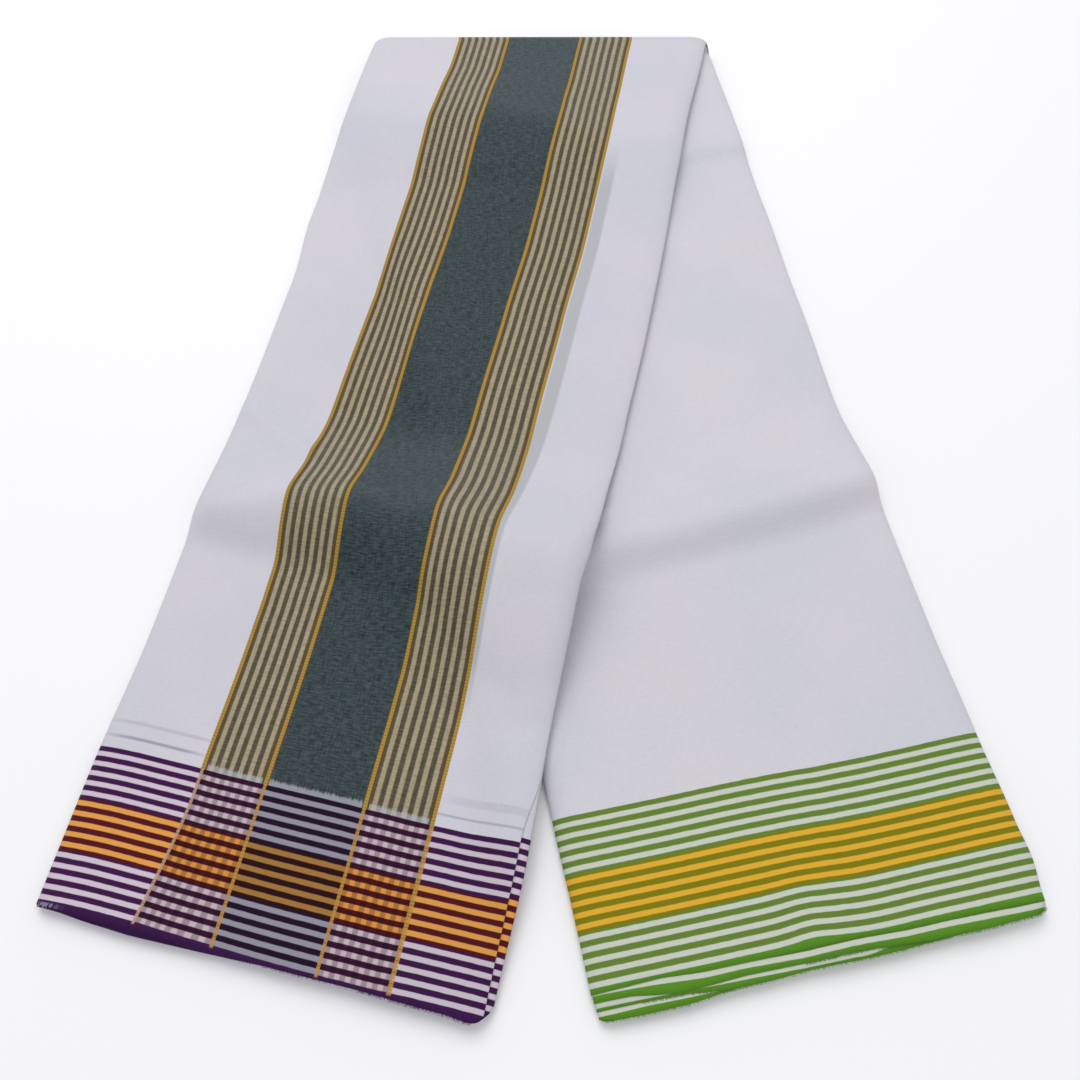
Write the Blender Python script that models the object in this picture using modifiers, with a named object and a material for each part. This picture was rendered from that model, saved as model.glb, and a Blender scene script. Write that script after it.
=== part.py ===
"""A dhoti, folded for the shop and laid out in an inverted V.

The cloth is one woven length. It is halved lengthwise four times into a strip
of sixteen layers that runs from selvedge to selvedge, and the strip is folded
once across its middle. The upper arm, with the purple border, lies over the
lower arm, with the green border. Both arms point towards -Y, and the turn
across the strip is at the +Y end.

A place on an arm is given by u, across the strip, and s, along it from the
fold line. Heights are above the surface that the cloth lies on. Metres, +Z up.
"""

from math import cos, radians, sin, sqrt, tan

import bmesh
import bpy
from mathutils import Vector

# The cloth and the way it is folded
CLOTH_LENGTH = 3.60
CLOTH_WIDTH = 1.28
LAYER_COUNT = 16
STRIP_WIDTH = CLOTH_LENGTH / LAYER_COUNT
HALF_STRIP = STRIP_WIDTH / 2
ARM_LENGTH = CLOTH_WIDTH / 2
SPLAY = radians(12.0)

# Depths through the layers
WALL = 0.0010
GAP = 0.0003
LAYER_STEP = WALL + 1.75 * GAP
STACK_DEPTH = 0.0060
HEM_DEPTH = 0.0076
HEM_SWELL_START = 0.500
HEM_SWELL_END = 0.560

# The rounded edges of the strip
SHOULDER = 0.0120
SHOULDER_ANGLES = (66, 43, 20)
FLAT_COLUMNS = 10
UNDER_ROUND = 0.0040
EDGE_LEVEL = 0.40
WRAP_END = 0.97
UNDERSIDE_INSET = 0.0020
UNDERSIDE_RIM = 0.0005
LAYER_NOTCH = 0.0014
LAYER_LOBES = 3

# The turn at the far end, where the strip doubles back over itself. The turn is
# sprung, so each arm is deeper by the puff beside it.
TURN_PUFF = 0.0025
PUFF_START = 0.050
PUFF_END = 0.132
TURN_RADIUS = STACK_DEPTH + TURN_PUFF + GAP / 2
TURN_ANGLES = (75, 50, 25, 0, -25, -50, -75)
TURN_FADE = 0.090
FIRST_STATION = TURN_RADIUS / cos(SPLAY)

# How the upper arm lies over the edge of the lower arm
BRIDGE_SLOPE = 4.0
BRIDGE_OVERHANG = 0.012
REST_GAP = 0.0011
DRAPE = 0.055
LIFT_START = 0.045
LIFT_SHARE = 0.60

# Ridges left by the shop's folds: a row for each place across the strip, with
# u, where the crest is, its rise, and its reach back and towards the hem
UPPER_FIRST_RIDGE = (
    (-0.1125, 0.114, 0.009, 0.060, 0.060),
    (-0.0560, 0.110, 0.014, 0.064, 0.050),
    (-0.0200, 0.104, 0.012, 0.062, 0.050),
    (0.0300, 0.099, 0.009, 0.056, 0.050),
    (0.0650, 0.097, 0.004, 0.052, 0.050),
    (0.1125, 0.096, 0.001, 0.050, 0.044),
)
UPPER_MIDDLE_RIDGE = (
    (-0.1125, 0.420, 0.012, 0.067, 0.019),
    (-0.0850, 0.417, 0.015, 0.066, 0.023),
    (-0.0560, 0.406, 0.022, 0.062, 0.036),
    (-0.0200, 0.401, 0.025, 0.060, 0.043),
    (0.0300, 0.402, 0.022, 0.062, 0.052),
    (0.0650, 0.411, 0.020, 0.068, 0.074),
    (0.1125, 0.422, 0.015, 0.076, 0.090),
)
LOWER_FIRST_RIDGE = (
    (-0.1125, 0.122, 0.003, 0.030, 0.020),
    (0.0000, 0.124, 0.004, 0.030, 0.017),
    (0.1125, 0.127, 0.004, 0.030, 0.013),
)
LOWER_MIDDLE_RIDGE = (
    (-0.1125, 0.414, 0.012, 0.056, 0.020),
    (0.0000, 0.410, 0.012, 0.055, 0.019),
    (0.0600, 0.406, 0.013, 0.055, 0.018),
    (0.1125, 0.402, 0.013, 0.055, 0.015),
)
FAR_SIDE_POWER = 1.2
NEAR_SIDE_POWER = 1.5
ROUNDING = 0.007
ROUND_SHARES = ((-1.0, 0.1), (-0.5, 0.25), (0.0, 0.3), (0.5, 0.25), (1.0, 0.1))

# How the laid-down strip strays from a straight one: a row for each distance
# along an arm, with s and the sideways shifts at the left edge, over the middle
# and at the right edge
UPPER_STRAY = (
    (0.000, -0.0030, 0.0020, 0.0080),
    (0.060, -0.0035, 0.0030, 0.0062),
    (0.110, -0.0045, 0.0042, 0.0070),
    (0.190, -0.0030, 0.0044, 0.0084),
    (0.250, 0.0018, 0.0028, 0.0085),
    (0.320, 0.0024, 0.0018, 0.0070),
    (0.380, 0.0020, 0.0016, 0.0048),
    (0.410, 0.0015, 0.0002, 0.0036),
    (0.435, 0.0010, 0.0002, 0.0014),
    (0.500, 0.0016, 0.0009, 0.0010),
    (0.580, -0.0004, 0.0010, 0.0030),
    (0.640, -0.0004, 0.0006, 0.0014),
)
LOWER_STRAY = (
    (0.000, -0.0030, 0.0020, 0.0080),
    (0.086, -0.0020, 0.0020, 0.0070),
    (0.180, 0.0000, 0.0000, 0.0028),
    (0.264, 0.0000, 0.0000, 0.0000),
    (0.349, 0.0000, 0.0000, -0.0030),
    (0.409, 0.0000, 0.0000, -0.0006),
    (0.494, 0.0000, 0.0000, -0.0010),
    (0.554, 0.0005, 0.0000, 0.0000),
    (0.600, 0.0010, 0.0000, 0.0016),
    (0.620, 0.0010, 0.0000, 0.0022),
    (0.640, 0.0010, 0.0000, 0.0006),
)
STRAY_MIDDLE_LEFT = -0.060
STRAY_MIDDLE_RIGHT = 0.068

# Stations along an arm: close over the ridges and the hem, wide elsewhere
PLAIN_SPACING = 0.036
RIDGE_SPACING = 0.0095
RIDGE_ZONES = ((0.040, 0.170), (0.340, 0.455))
HEM_SPACING = 0.020
UNDERSIDE_SPACING = 0.105

# The loose layers at the hems. Each layer's place counts down from the top
# one, and its runs say how far it shows past the arm's length at the left,
# in the middle and at the right.
HEM_ROOT = 0.560
UPPER_TOP_RUNS = (0.0008, 0.0062, 0.0080)
LOWER_TOP_RUNS = (-0.0052, -0.0026, 0.0004)
UNDERSIDE_RUNS = (0.0074, 0.0055, 0.0035)
UPPER_HEM_LAYERS = (
    ("purple_hem_layer_2", 1, (0.0030, 0.0058, 0.0056)),
    ("purple_hem_layer_3", 2, (0.0040, 0.0062, 0.0050)),
)
LOWER_HEM_LAYERS = (
    ("green_hem_layer_2", 1, (-0.0010, 0.0030, 0.0058)),
    ("green_hem_layer_3", 2, (0.0029, 0.0068, 0.0050)),
)
UPPER_STACK_RUNS = (0.0034, 0.0058, 0.0052)
LOWER_STACK_RUNS = (0.0030, 0.0046, 0.0030)
HEM_SIDE_ROOM = 0.0018

UPPER = -1
LOWER = 1


def smooth(t):
    """A step from 0 to 1 with soft ends."""
    t = min(max(t, 0.0), 1.0)
    return t * t * (3 - 2 * t)


def mix(a, b, t):
    return a + (b - a) * t


def read_table(table, at, easing=lambda t: t):
    """The sizes at a place, read between the rows of a table."""
    at = min(max(at, table[0][0]), table[-1][0])
    for low, high in zip(table, table[1:]):
        if at <= high[0]:
            t = easing((at - low[0]) / (high[0] - low[0]))
            return [mix(a, b, t) for a, b in zip(low[1:], high[1:])]


def tent(past_crest, far_run, near_run):
    """A ridge of height 1 with a sharp crest."""
    if past_crest <= 0:
        return (1 - min(-past_crest / far_run, 1.0)) ** FAR_SIDE_POWER
    return 1 - min(past_crest / near_run, 1.0) ** NEAR_SIDE_POWER


def ridge(table, u, s, drape=0.0):
    """Height that a ridge adds: a tent whose crest and feet are rounded.

    A drape draws out the near side, as in a layer that lies loosely over the ridge.
    """
    crest, rise, far_run, near_run = read_table(table, u)
    height = 0.0
    for shift, share in ROUND_SHARES:
        height += share * tent(s - crest + shift * ROUNDING, far_run, near_run + drape)
    return rise * height


def stack_depth(s):
    """Depth of one arm's layers: more beside the turn and at the stiff border."""
    swell = smooth((s - HEM_SWELL_START) / (HEM_SWELL_END - HEM_SWELL_START))
    puff = TURN_PUFF * (1 - smooth((s - PUFF_START) / (PUFF_END - PUFF_START)))
    return mix(STACK_DEPTH, HEM_DEPTH, swell) + puff


def strayed(side, u, s):
    """Where a place really lies across the strip: u with its sideways shift."""
    table = UPPER_STRAY if side == UPPER else LOWER_STRAY
    left, middle, right = read_table(table, s, smooth)
    if u < STRAY_MIDDLE_LEFT:
        from_middle = (STRAY_MIDDLE_LEFT - u) / (STRAY_MIDDLE_LEFT + HALF_STRIP)
        return u + mix(middle, left, from_middle)
    if u > STRAY_MIDDLE_RIGHT:
        from_middle = (u - STRAY_MIDDLE_RIGHT) / (HALF_STRIP - STRAY_MIDDLE_RIGHT)
        return u + mix(middle, right, from_middle)
    return u + middle


def arm_xy(side, u, s):
    """Plan position of a place on an arm. Side is UPPER or LOWER."""
    u = strayed(side, u, s)
    x = u * cos(SPLAY) + side * s * sin(SPLAY)
    y = side * u * sin(SPLAY) - s * cos(SPLAY)
    return x, y


def lower_arm_place(x, y):
    """The u and s, on the lower arm, of a plan position."""
    return x * cos(SPLAY) + y * sin(SPLAY), x * sin(SPLAY) - y * cos(SPLAY)


def lower_top(u, s, drape=0.0):
    ridges = ridge(LOWER_FIRST_RIDGE, u, s, drape) + ridge(LOWER_MIDDLE_RIDGE, u, s, drape)
    return stack_depth(s) + ridges


def upper_rest(u, s):
    """Height at which the lower arm carries the upper one: 0 on the floor."""
    place_u, place_s = lower_arm_place(*arm_xy(UPPER, u, s))
    gap = mix(GAP, REST_GAP, smooth(s / TURN_FADE))
    carrier = lower_top(max(place_u, -HALF_STRIP), place_s, DRAPE) + gap
    beyond_edge = -HALF_STRIP - place_u - BRIDGE_OVERHANG
    return carrier * (1 - smooth(beyond_edge / (BRIDGE_SLOPE * carrier)))


def upper_top(u, s):
    ridges = ridge(UPPER_FIRST_RIDGE, u, s) + ridge(UPPER_MIDDLE_RIDGE, u, s)
    return upper_rest(u, s) + stack_depth(s) + ridges


def upper_under(u, s):
    """Underside of the upper arm, which lifts off along its free edge."""
    lift = LIFT_SHARE * smooth((u - LIFT_START) / (HALF_STRIP - LIFT_START))
    return upper_rest(u, s) + lift * ridge(UPPER_MIDDLE_RIDGE, u, s)


def lower_under(u, s):
    """Underside of the lower arm, which lies on the floor all over."""
    return 0.0


def slant(height, u, s):
    """Vertical depth of one unit of depth measured square to a surface."""
    step = 0.002
    along = (height(u, s + step) - height(u, s - step)) / (2 * step)
    sideways = (height(u + step, s) - height(u - step, s)) / (2 * step)
    return sqrt(1 + along * along + sideways * sideways)


def station_s(side, u, station):
    """The s of a station at u: beside the turn it runs level with the turn."""
    across_turn = strayed(side, u, 0)
    beside_turn = (TURN_RADIUS + side * across_turn * sin(SPLAY)) / cos(SPLAY)
    fade = 1 - smooth((station - FIRST_STATION) / TURN_FADE)
    return station + (beside_turn - FIRST_STATION) * fade


def hem_run(runs, u):
    """How far a layer runs past the arm's length at u, from its three sizes."""
    left, middle, right = runs
    side = left if u < 0 else right
    return mix(middle, side, abs(u) / HALF_STRIP)


def spread(start, end, spacing):
    """Marks after start, up to and with end, about one spacing apart."""
    count = max(1, round((end - start) / spacing))
    return [mix(start, end, i / count) for i in range(1, count + 1)]


def arm_stations():
    """Distances along an arm, from the turn to the hem."""
    marks = [FIRST_STATION]
    for zone_start, zone_end in RIDGE_ZONES:
        marks += spread(marks[-1], zone_start, PLAIN_SPACING)
        marks += spread(zone_start, zone_end, RIDGE_SPACING)
    marks += spread(marks[-1], HEM_ROOT, PLAIN_SPACING)
    return marks + spread(HEM_ROOT, ARM_LENGTH, HEM_SPACING)


def columns(half, shoulder):
    """Places across a section: flat ones, and an arc over each shoulder."""
    flat = half - shoulder
    arc = [flat + shoulder * sin(radians(angle)) for angle in SHOULDER_ANGLES]
    middle = [mix(-flat, flat, i / (FLAT_COLUMNS - 1)) for i in range(FLAT_COLUMNS)]
    return [-u for u in arc] + middle + arc[::-1]


def crown(u, half, shoulder):
    """1 over the flat of a section, falling to 0 round its shoulder."""
    k = max(0.0, abs(u) - (half - shoulder)) / shoulder
    return sqrt(max(0.0, 1 - k * k))


def arm_point(side, u, station, runs, level, height):
    """A point of an arm's section, stretched so that its last one meets the hem.

    Height is a function of u and s, and level says how far the point is from
    the edge's height, 0, to that height, 1.
    """
    stretch = smooth((station - HEM_ROOT) / (ARM_LENGTH - HEM_ROOT))
    s = station_s(side, u, station) + stretch * hem_run(runs, u)
    top, under = (upper_top, upper_under) if side == UPPER else (lower_top, lower_under)
    edge = mix(under(u, s), top(u, s), EDGE_LEVEL)
    x, y = arm_xy(side, u, s)
    return Vector((x, y, mix(edge, height(u, s), level)))


def turn_point(u, angle, radius):
    """A point of the turn. The angle runs from -90, below, to 90, on top."""
    a = radians(angle)
    x = strayed(UPPER, u, 0) / cos(SPLAY) - TURN_RADIUS * tan(SPLAY) * sin(a)
    return Vector((x, radius * cos(a) - TURN_RADIUS, TURN_RADIUS + radius * sin(a)))


def turn_edge_radius(angle):
    """Radius of the strip's edge round the turn."""
    low = TURN_RADIUS - EDGE_LEVEL * stack_depth(0)
    high = GAP / 2 + EDGE_LEVEL * stack_depth(0)
    return mix(low, high, (sin(radians(angle)) + 1) / 2)


def turn_row(half, shoulder, angle, radius, round_low, round_high):
    """A row across the turn, with its rounding on the lower and upper arms."""
    rounding = mix(round_low, round_high, (angle + 90) / 180)
    edge = turn_edge_radius(angle)
    return [
        turn_point(u, angle, mix(edge, radius, crown(u, half, rounding)))
        for u in columns(half, shoulder)
    ]


def new_material(name, color, roughness):
    material = bpy.data.materials.new(name)
    material.use_nodes = True
    shader = material.node_tree.nodes["Principled BSDF"]
    shader.inputs["Base Color"].default_value = (*color, 1)
    shader.inputs["Roughness"].default_value = roughness
    shader.inputs["Metallic"].default_value = 0
    return material


def sheet_from_rows(name, rows, material, closed=False):
    """A grid whose vertices are moved to the rows, as a skin or a closed tube.

    A tube's rows close on themselves, and its two ends are filled.
    """
    if closed:
        rows = [row + row[:1] for row in rows]
    last_column = len(rows[0]) - 1
    last_row = len(rows) - 1
    bm = bmesh.new()
    bmesh.ops.create_grid(bm, x_segments=last_column, y_segments=last_row, size=1)
    for vertex in bm.verts:
        i = round((vertex.co.x + 1) / 2 * last_column)
        j = round((vertex.co.y + 1) / 2 * last_row)
        vertex.co = rows[j][i]
    if closed:
        bmesh.ops.remove_doubles(bm, verts=bm.verts, dist=0.000001)
        open_edges = [edge for edge in bm.edges if edge.is_boundary]
        bmesh.ops.holes_fill(bm, edges=open_edges, sides=0)
    mesh = bpy.data.meshes.new(name)
    bm.to_mesh(mesh)
    bm.free()
    mesh.shade_smooth()
    mesh.materials.append(material)
    item = bpy.data.objects.new(name, mesh)
    COLLECTION.objects.link(item)
    return item


def add_wall(item):
    """Give a skin the thickness of its wall, on the side away from its normals."""
    wall = item.modifiers.new("wall", "SOLIDIFY")
    wall.thickness = WALL
    wall.offset = -1
    return item


def hem_room(station):
    """1 where the loose hem layers take some of the depth, 0 before them."""
    return smooth((station - HEM_ROOT) / HEM_SPACING + 1)


def stack_inset(side, station):
    """How far the hidden layers lie below the top cloth and the hem layers."""
    layers = UPPER_HEM_LAYERS if side == UPPER else LOWER_HEM_LAYERS
    return LAYER_STEP * (1 + len(layers) * hem_room(station))


def layered_edge(high, low, out):
    """Points down the many-layered edge, in folds with notches between them."""
    points = []
    steps = 2 * LAYER_LOBES
    for i in range(1, steps):
        notch = LAYER_NOTCH if i % 2 == 0 else 0.0
        points.append(high.lerp(low, i / steps) - out * notch)
    return points


def ring(outer, inner, fold_edge, out):
    """One closed section: outer row, layered edge, inner row, single fold."""
    return outer + layered_edge(outer[-1], inner[-1], out) + inner[::-1] + [fold_edge]


def stack_ring_on_arm(side, station):
    inset = stack_inset(side, station)
    side_inset = inset + HEM_SIDE_ROOM * hem_room(station)
    half = HALF_STRIP - side_inset
    shoulder = SHOULDER - side_inset
    surface = upper_top if side == UPPER else lower_top
    floor = 0.0 if side == UPPER else LAYER_STEP
    under = upper_under if side == UPPER else lower_under
    runs = UPPER_STACK_RUNS if side == UPPER else LOWER_STACK_RUNS

    def top(u, s):
        return surface(u, s) - inset * slant(surface, u, s)

    def bottom(u, s):
        return under(u, s) + floor

    upper_row = []
    lower_row = []
    for u in columns(half, shoulder):
        on_top = crown(u, half, shoulder)
        below = crown(u, half, UNDER_ROUND)
        upper_row.append(arm_point(side, u, station, runs, on_top, top))
        lower_row.append(arm_point(side, u, station, runs, below, bottom))
    fold_edge = arm_point(side, -half, station, runs, 0, top)
    out = Vector((cos(SPLAY), side * sin(SPLAY), 0))
    if side == UPPER:
        return ring(upper_row, lower_row, fold_edge, out)
    return ring(lower_row, upper_row, fold_edge, out)


def stack_ring_in_turn(angle):
    half = HALF_STRIP - LAYER_STEP - GAP
    shoulder = SHOULDER - LAYER_STEP - GAP
    nook = mix(LAYER_STEP + GAP / 2, GAP / 2, (angle + 90) / 180)
    outer = turn_row(half, shoulder, angle, TURN_RADIUS - LAYER_STEP, UNDER_ROUND, shoulder)
    inner = turn_row(half, shoulder, angle, nook, shoulder, UNDER_ROUND)
    fold_edge = turn_point(-half, angle, turn_edge_radius(angle))
    return ring(outer, inner, fold_edge, Vector((1, 0, 0)))


def build_folded_layers():
    """The hidden layers of both arms and of the turn between them."""
    stations = arm_stations()
    rings = [stack_ring_on_arm(UPPER, station) for station in reversed(stations)]
    rings += [stack_ring_in_turn(angle) for angle in TURN_ANGLES]
    rings += [stack_ring_on_arm(LOWER, station) for station in stations]
    material = new_material("folded_cotton_edges", (0.62, 0.62, 0.67), 0.9)
    return sheet_from_rows("folded_layers", rings, material, closed=True)


def top_cloth_row(side, station, runs):
    """The cloth over an arm: down round the single fold, then across the top."""
    surface = upper_top if side == UPPER else lower_top
    under = upper_under if side == UPPER else lower_under
    half = HALF_STRIP
    wrap_u = -half + UNDER_ROUND * (1 - WRAP_END)
    wrap_level = crown(wrap_u, half, UNDER_ROUND)
    row = [
        arm_point(side, wrap_u, station, runs, wrap_level, under),
        arm_point(side, -half, station, runs, 0, surface),
    ]
    for u in columns(half, SHOULDER):
        level = crown(u, half, SHOULDER)
        row.append(arm_point(side, u, station, runs, level, surface))
    return row


def underside_row(station):
    """The outermost layer where it passes under the lower arm."""
    half = HALF_STRIP - UNDERSIDE_INSET
    return [
        arm_point(LOWER, u, station, UNDERSIDE_RUNS, 1, lower_under)
        for u in [-half, -half + UNDERSIDE_RIM] + columns(half, SHOULDER)
    ]


def turn_cloth_row(angle):
    """The outermost layer round the turn."""
    share = (angle + 90) / 180
    wrap_u = -HALF_STRIP + UNDER_ROUND * (1 - WRAP_END)
    edge = turn_edge_radius(angle)
    start = turn_point(mix(-HALF_STRIP + UNDERSIDE_INSET, wrap_u, share), angle, edge)
    fold_edge = turn_point(-HALF_STRIP, angle, edge)
    row = turn_row(HALF_STRIP, SHOULDER, angle, TURN_RADIUS, UNDER_ROUND, SHOULDER)
    return [start, fold_edge] + row


def build_outer_cloth():
    """The outermost layer: purple hem, upper arm, turn and whole underside."""
    stations = arm_stations()
    rows = [top_cloth_row(UPPER, station, UPPER_TOP_RUNS) for station in reversed(stations)]
    rows += [turn_cloth_row(angle) for angle in TURN_ANGLES]
    below = [FIRST_STATION] + spread(FIRST_STATION, HEM_ROOT, UNDERSIDE_SPACING)
    rows += [underside_row(station) for station in below]
    rows.append(underside_row(ARM_LENGTH))
    material = new_material("bleached_cotton_outer", (0.62, 0.62, 0.68), 0.85)
    return add_wall(sheet_from_rows("outer_cloth", rows, material))


def build_lower_arm_cloth():
    """The layer that faces up on the lower arm, from the green hem to the turn."""
    rows = [
        top_cloth_row(LOWER, station, LOWER_TOP_RUNS)
        for station in reversed(arm_stations())
    ]
    material = new_material("bleached_cotton_lower", (0.60, 0.61, 0.66), 0.85)
    return add_wall(sheet_from_rows("lower_arm_cloth", rows, material))


def build_hem_layer(side, name, place, runs, color):
    """A layer that peeks out under the ones above it at a hem."""
    surface = upper_top if side == UPPER else lower_top
    inset = place * LAYER_STEP
    half = HALF_STRIP - inset
    shoulder = SHOULDER - inset

    def height(u, s):
        return surface(u, s) - inset

    rows = []
    for station in reversed([HEM_ROOT] + spread(HEM_ROOT, ARM_LENGTH, HEM_SPACING)):
        rows.append([
            arm_point(side, u, station, runs, crown(u, half, shoulder), height)
            for u in columns(half, shoulder)
        ])
    return add_wall(sheet_from_rows(name, rows, new_material(name + "_cotton", color, 0.85)))


def build_hem_layers():
    for name, place, runs in UPPER_HEM_LAYERS:
        build_hem_layer(UPPER, name, place, runs, (0.10, 0.03, 0.15))
    for name, place, runs in LOWER_HEM_LAYERS:
        build_hem_layer(LOWER, name, place, runs, (0.12, 0.28, 0.04))


def centre_on_floor():
    """Move every mesh so that the whole stands centred on the origin."""
    low = Vector((1e9, 1e9, 1e9))
    high = -low
    depsgraph = bpy.context.evaluated_depsgraph_get()
    for item in COLLECTION.objects:
        for vertex in item.evaluated_get(depsgraph).data.vertices:
            low = Vector(map(min, low, vertex.co))
            high = Vector(map(max, high, vertex.co))
    shift = Vector(((low.x + high.x) / 2, (low.y + high.y) / 2, low.z))
    for item in COLLECTION.objects:
        for vertex in item.data.vertices:
            vertex.co -= shift


for old in list(bpy.data.objects):
    bpy.data.objects.remove(old)
COLLECTION = bpy.data.collections.new("dhoti_cloth")
bpy.context.scene.collection.children.link(COLLECTION)

build_folded_layers()
build_outer_cloth()
build_lower_arm_cloth()
build_hem_layers()
centre_on_floor()
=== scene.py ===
# %% [markdown]
# # A dhoti, folded for the shop
#
# The real thing is one length of woven cotton, 3.60 m by 1.28 m. It is halved lengthwise four
# times into a strip of sixteen layers, and the strip is folded once across its middle. This
# notebook dresses the plain solids with thin cloth, a woven pattern and loose yarn.
#
# First the solids are loaded as a frame. The outer cloth's box later places the folds.

# %% Load the frame
from math import cos, exp, hypot, pi, radians, sin, sqrt, tan
from random import Random

import bmesh
import bpy
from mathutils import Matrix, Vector


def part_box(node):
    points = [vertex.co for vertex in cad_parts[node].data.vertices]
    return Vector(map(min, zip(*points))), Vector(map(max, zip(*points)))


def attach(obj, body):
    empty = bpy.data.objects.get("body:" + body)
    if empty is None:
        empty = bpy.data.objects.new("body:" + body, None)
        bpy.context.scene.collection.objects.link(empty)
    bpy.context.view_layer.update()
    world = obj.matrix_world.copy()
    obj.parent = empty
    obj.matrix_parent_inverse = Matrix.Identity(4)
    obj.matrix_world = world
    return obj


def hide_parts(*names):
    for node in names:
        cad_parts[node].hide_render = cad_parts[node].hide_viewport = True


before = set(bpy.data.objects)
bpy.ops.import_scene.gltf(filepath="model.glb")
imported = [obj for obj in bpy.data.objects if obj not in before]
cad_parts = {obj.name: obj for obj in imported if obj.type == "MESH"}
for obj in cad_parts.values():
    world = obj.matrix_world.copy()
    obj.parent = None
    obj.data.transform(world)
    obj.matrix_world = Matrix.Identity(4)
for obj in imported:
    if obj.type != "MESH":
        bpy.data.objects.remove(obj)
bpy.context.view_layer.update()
print("nodes:", ", ".join(sorted(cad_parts)))

# %% [markdown]
# ## Sizes
#
# The strip is a sixteenth of the cloth's length, and an arm is half of its width. A real layer
# of this cotton is about a third of a millimetre thick, so sixteen make a stack of 6 mm.
# The borders have more yarn in them, and are a little deeper. At the turn the layers puff up,
# and a gap stays between the arms. Hidden pieces keep clear of the sheets that cover them.

# %% Sizes of the folded cloth, in metres
CLOTH_LENGTH, CLOTH_WIDTH, LAYER_COUNT = 3.60, 1.28, 16
STRIP_WIDTH = CLOTH_LENGTH / LAYER_COUNT
HALF = STRIP_WIDTH / 2
ARM = CLOTH_WIDTH / 2
SPLAY = radians(12.0)
STACK = 0.0060
HEM_STACK = 0.0076
SHEET = 0.0004
LAYER = 0.00046
INNER_INSET = 0.0010
GAP = 0.0003
CLEARANCE = 0.0002
TURN_PUFF = 0.0025
TURN_RADIUS = STACK + TURN_PUFF + GAP / 2
TURN_REACH = TURN_RADIUS / cos(SPLAY)
UPPER, LOWER = -1, 1
print(f"strip {STRIP_WIDTH * 1000:.0f} mm wide, arms {ARM * 1000:.0f} mm long")

# %% [markdown]
# ## Soft ridges
#
# The shop folds the strip in thirds, and the opened cloth keeps those folds as soft ridges.
# Each is a tent with a slightly hollow far side and a rounded near side, and it changes across
# the strip. A table gives its sizes at a few places, and a function blends between the rows.

# %% Ridge tables: u, crest, rise, reach back, reach towards the hem
UPPER_FIRST = (
    (-0.1125, 0.114, 0.009, 0.060, 0.060),
    (-0.0560, 0.110, 0.014, 0.064, 0.050),
    (-0.0200, 0.104, 0.012, 0.062, 0.050),
    (0.0300, 0.099, 0.009, 0.056, 0.050),
    (0.0650, 0.097, 0.004, 0.052, 0.050),
    (0.1125, 0.096, 0.001, 0.050, 0.044),
)
UPPER_MIDDLE = (
    (-0.1125, 0.420, 0.012, 0.067, 0.019),
    (-0.0850, 0.417, 0.015, 0.066, 0.023),
    (-0.0560, 0.406, 0.022, 0.062, 0.036),
    (-0.0200, 0.401, 0.025, 0.060, 0.043),
    (0.0300, 0.402, 0.022, 0.062, 0.052),
    (0.0650, 0.411, 0.020, 0.068, 0.074),
    (0.1125, 0.422, 0.015, 0.076, 0.090),
)
LOWER_FIRST = (
    (-0.1125, 0.122, 0.003, 0.030, 0.020),
    (0.0000, 0.124, 0.004, 0.030, 0.017),
    (0.1125, 0.127, 0.004, 0.030, 0.013),
)
LOWER_MIDDLE = (
    (-0.1125, 0.414, 0.012, 0.056, 0.020),
    (0.0000, 0.410, 0.012, 0.055, 0.019),
    (0.0600, 0.406, 0.013, 0.055, 0.018),
    (0.1125, 0.402, 0.013, 0.055, 0.015),
)
print("the tallest ridge rises", max(row[2] for row in UPPER_MIDDLE) * 1000, "mm")

# %% [markdown]
# Nearly every size of this cloth comes from a table or a soft step. These helpers blend between
# two values, and between two rows of a table.

# %% Blending between sizes
def mix(a, b, t):
    """The value a share t of the way from a to b."""
    return a + (b - a) * t


def smooth(t):
    """A step from 0 to 1 with soft ends."""
    t = min(max(t, 0.0), 1.0)
    return t * t * (3 - 2 * t)


def ramp(value, start, end):
    """A soft step that rises from 0 at start to 1 at end."""
    return smooth((value - start) / (end - start))


def read_table(table, at, easing=lambda t: t):
    """A table's sizes at a place, blended between its rows."""
    at = min(max(at, table[0][0]), table[-1][0])
    for low, high in zip(table, table[1:]):
        if at <= high[0]:
            t = easing((at - low[0]) / (high[0] - low[0]))
            return [mix(a, b, t) for a, b in zip(low[1:], high[1:])]


print("in the middle of the strip its crest is at s =", round(read_table(UPPER_MIDDLE, 0)[0], 4))

# %% [markdown]
# A tent has a sharp crest, and cloth hasn't. So a ridge is a weighted mean of a few tents, each
# shifted a little, which rounds its crest off.

# %% The shape of a ridge
FAR_HOLLOW, NEAR_ROUND = 1.2, 1.5
ROUNDING = 0.007
ROUND_SHARES = ((-1.0, 0.1), (-0.5, 0.25), (0.0, 0.3), (0.5, 0.25), (1.0, 0.1))


def tent(past_crest, far_reach, near_reach):
    """A ridge of height 1, with a sharp crest."""
    if past_crest <= 0:
        return (1 - min(-past_crest / far_reach, 1.0)) ** FAR_HOLLOW
    return 1 - min(past_crest / near_reach, 1.0) ** NEAR_ROUND


def ridge(table, u, s, drape=0.0):
    """The height of a ridge. A drape draws out its near side, as in cloth laid loosely over it."""
    crest, rise, far_reach, near_reach = read_table(table, u)
    near_reach += drape
    if not -far_reach - ROUNDING < s - crest < near_reach + ROUNDING:
        return 0.0
    height = 0.0
    for shift, share in ROUND_SHARES:
        height += share * tent(s - crest + shift * ROUNDING, far_reach, near_reach)
    return rise * height


print("its rounded crest there is", round(ridge(UPPER_MIDDLE, 0, 0.401) * 1000, 1), "mm high")
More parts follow.
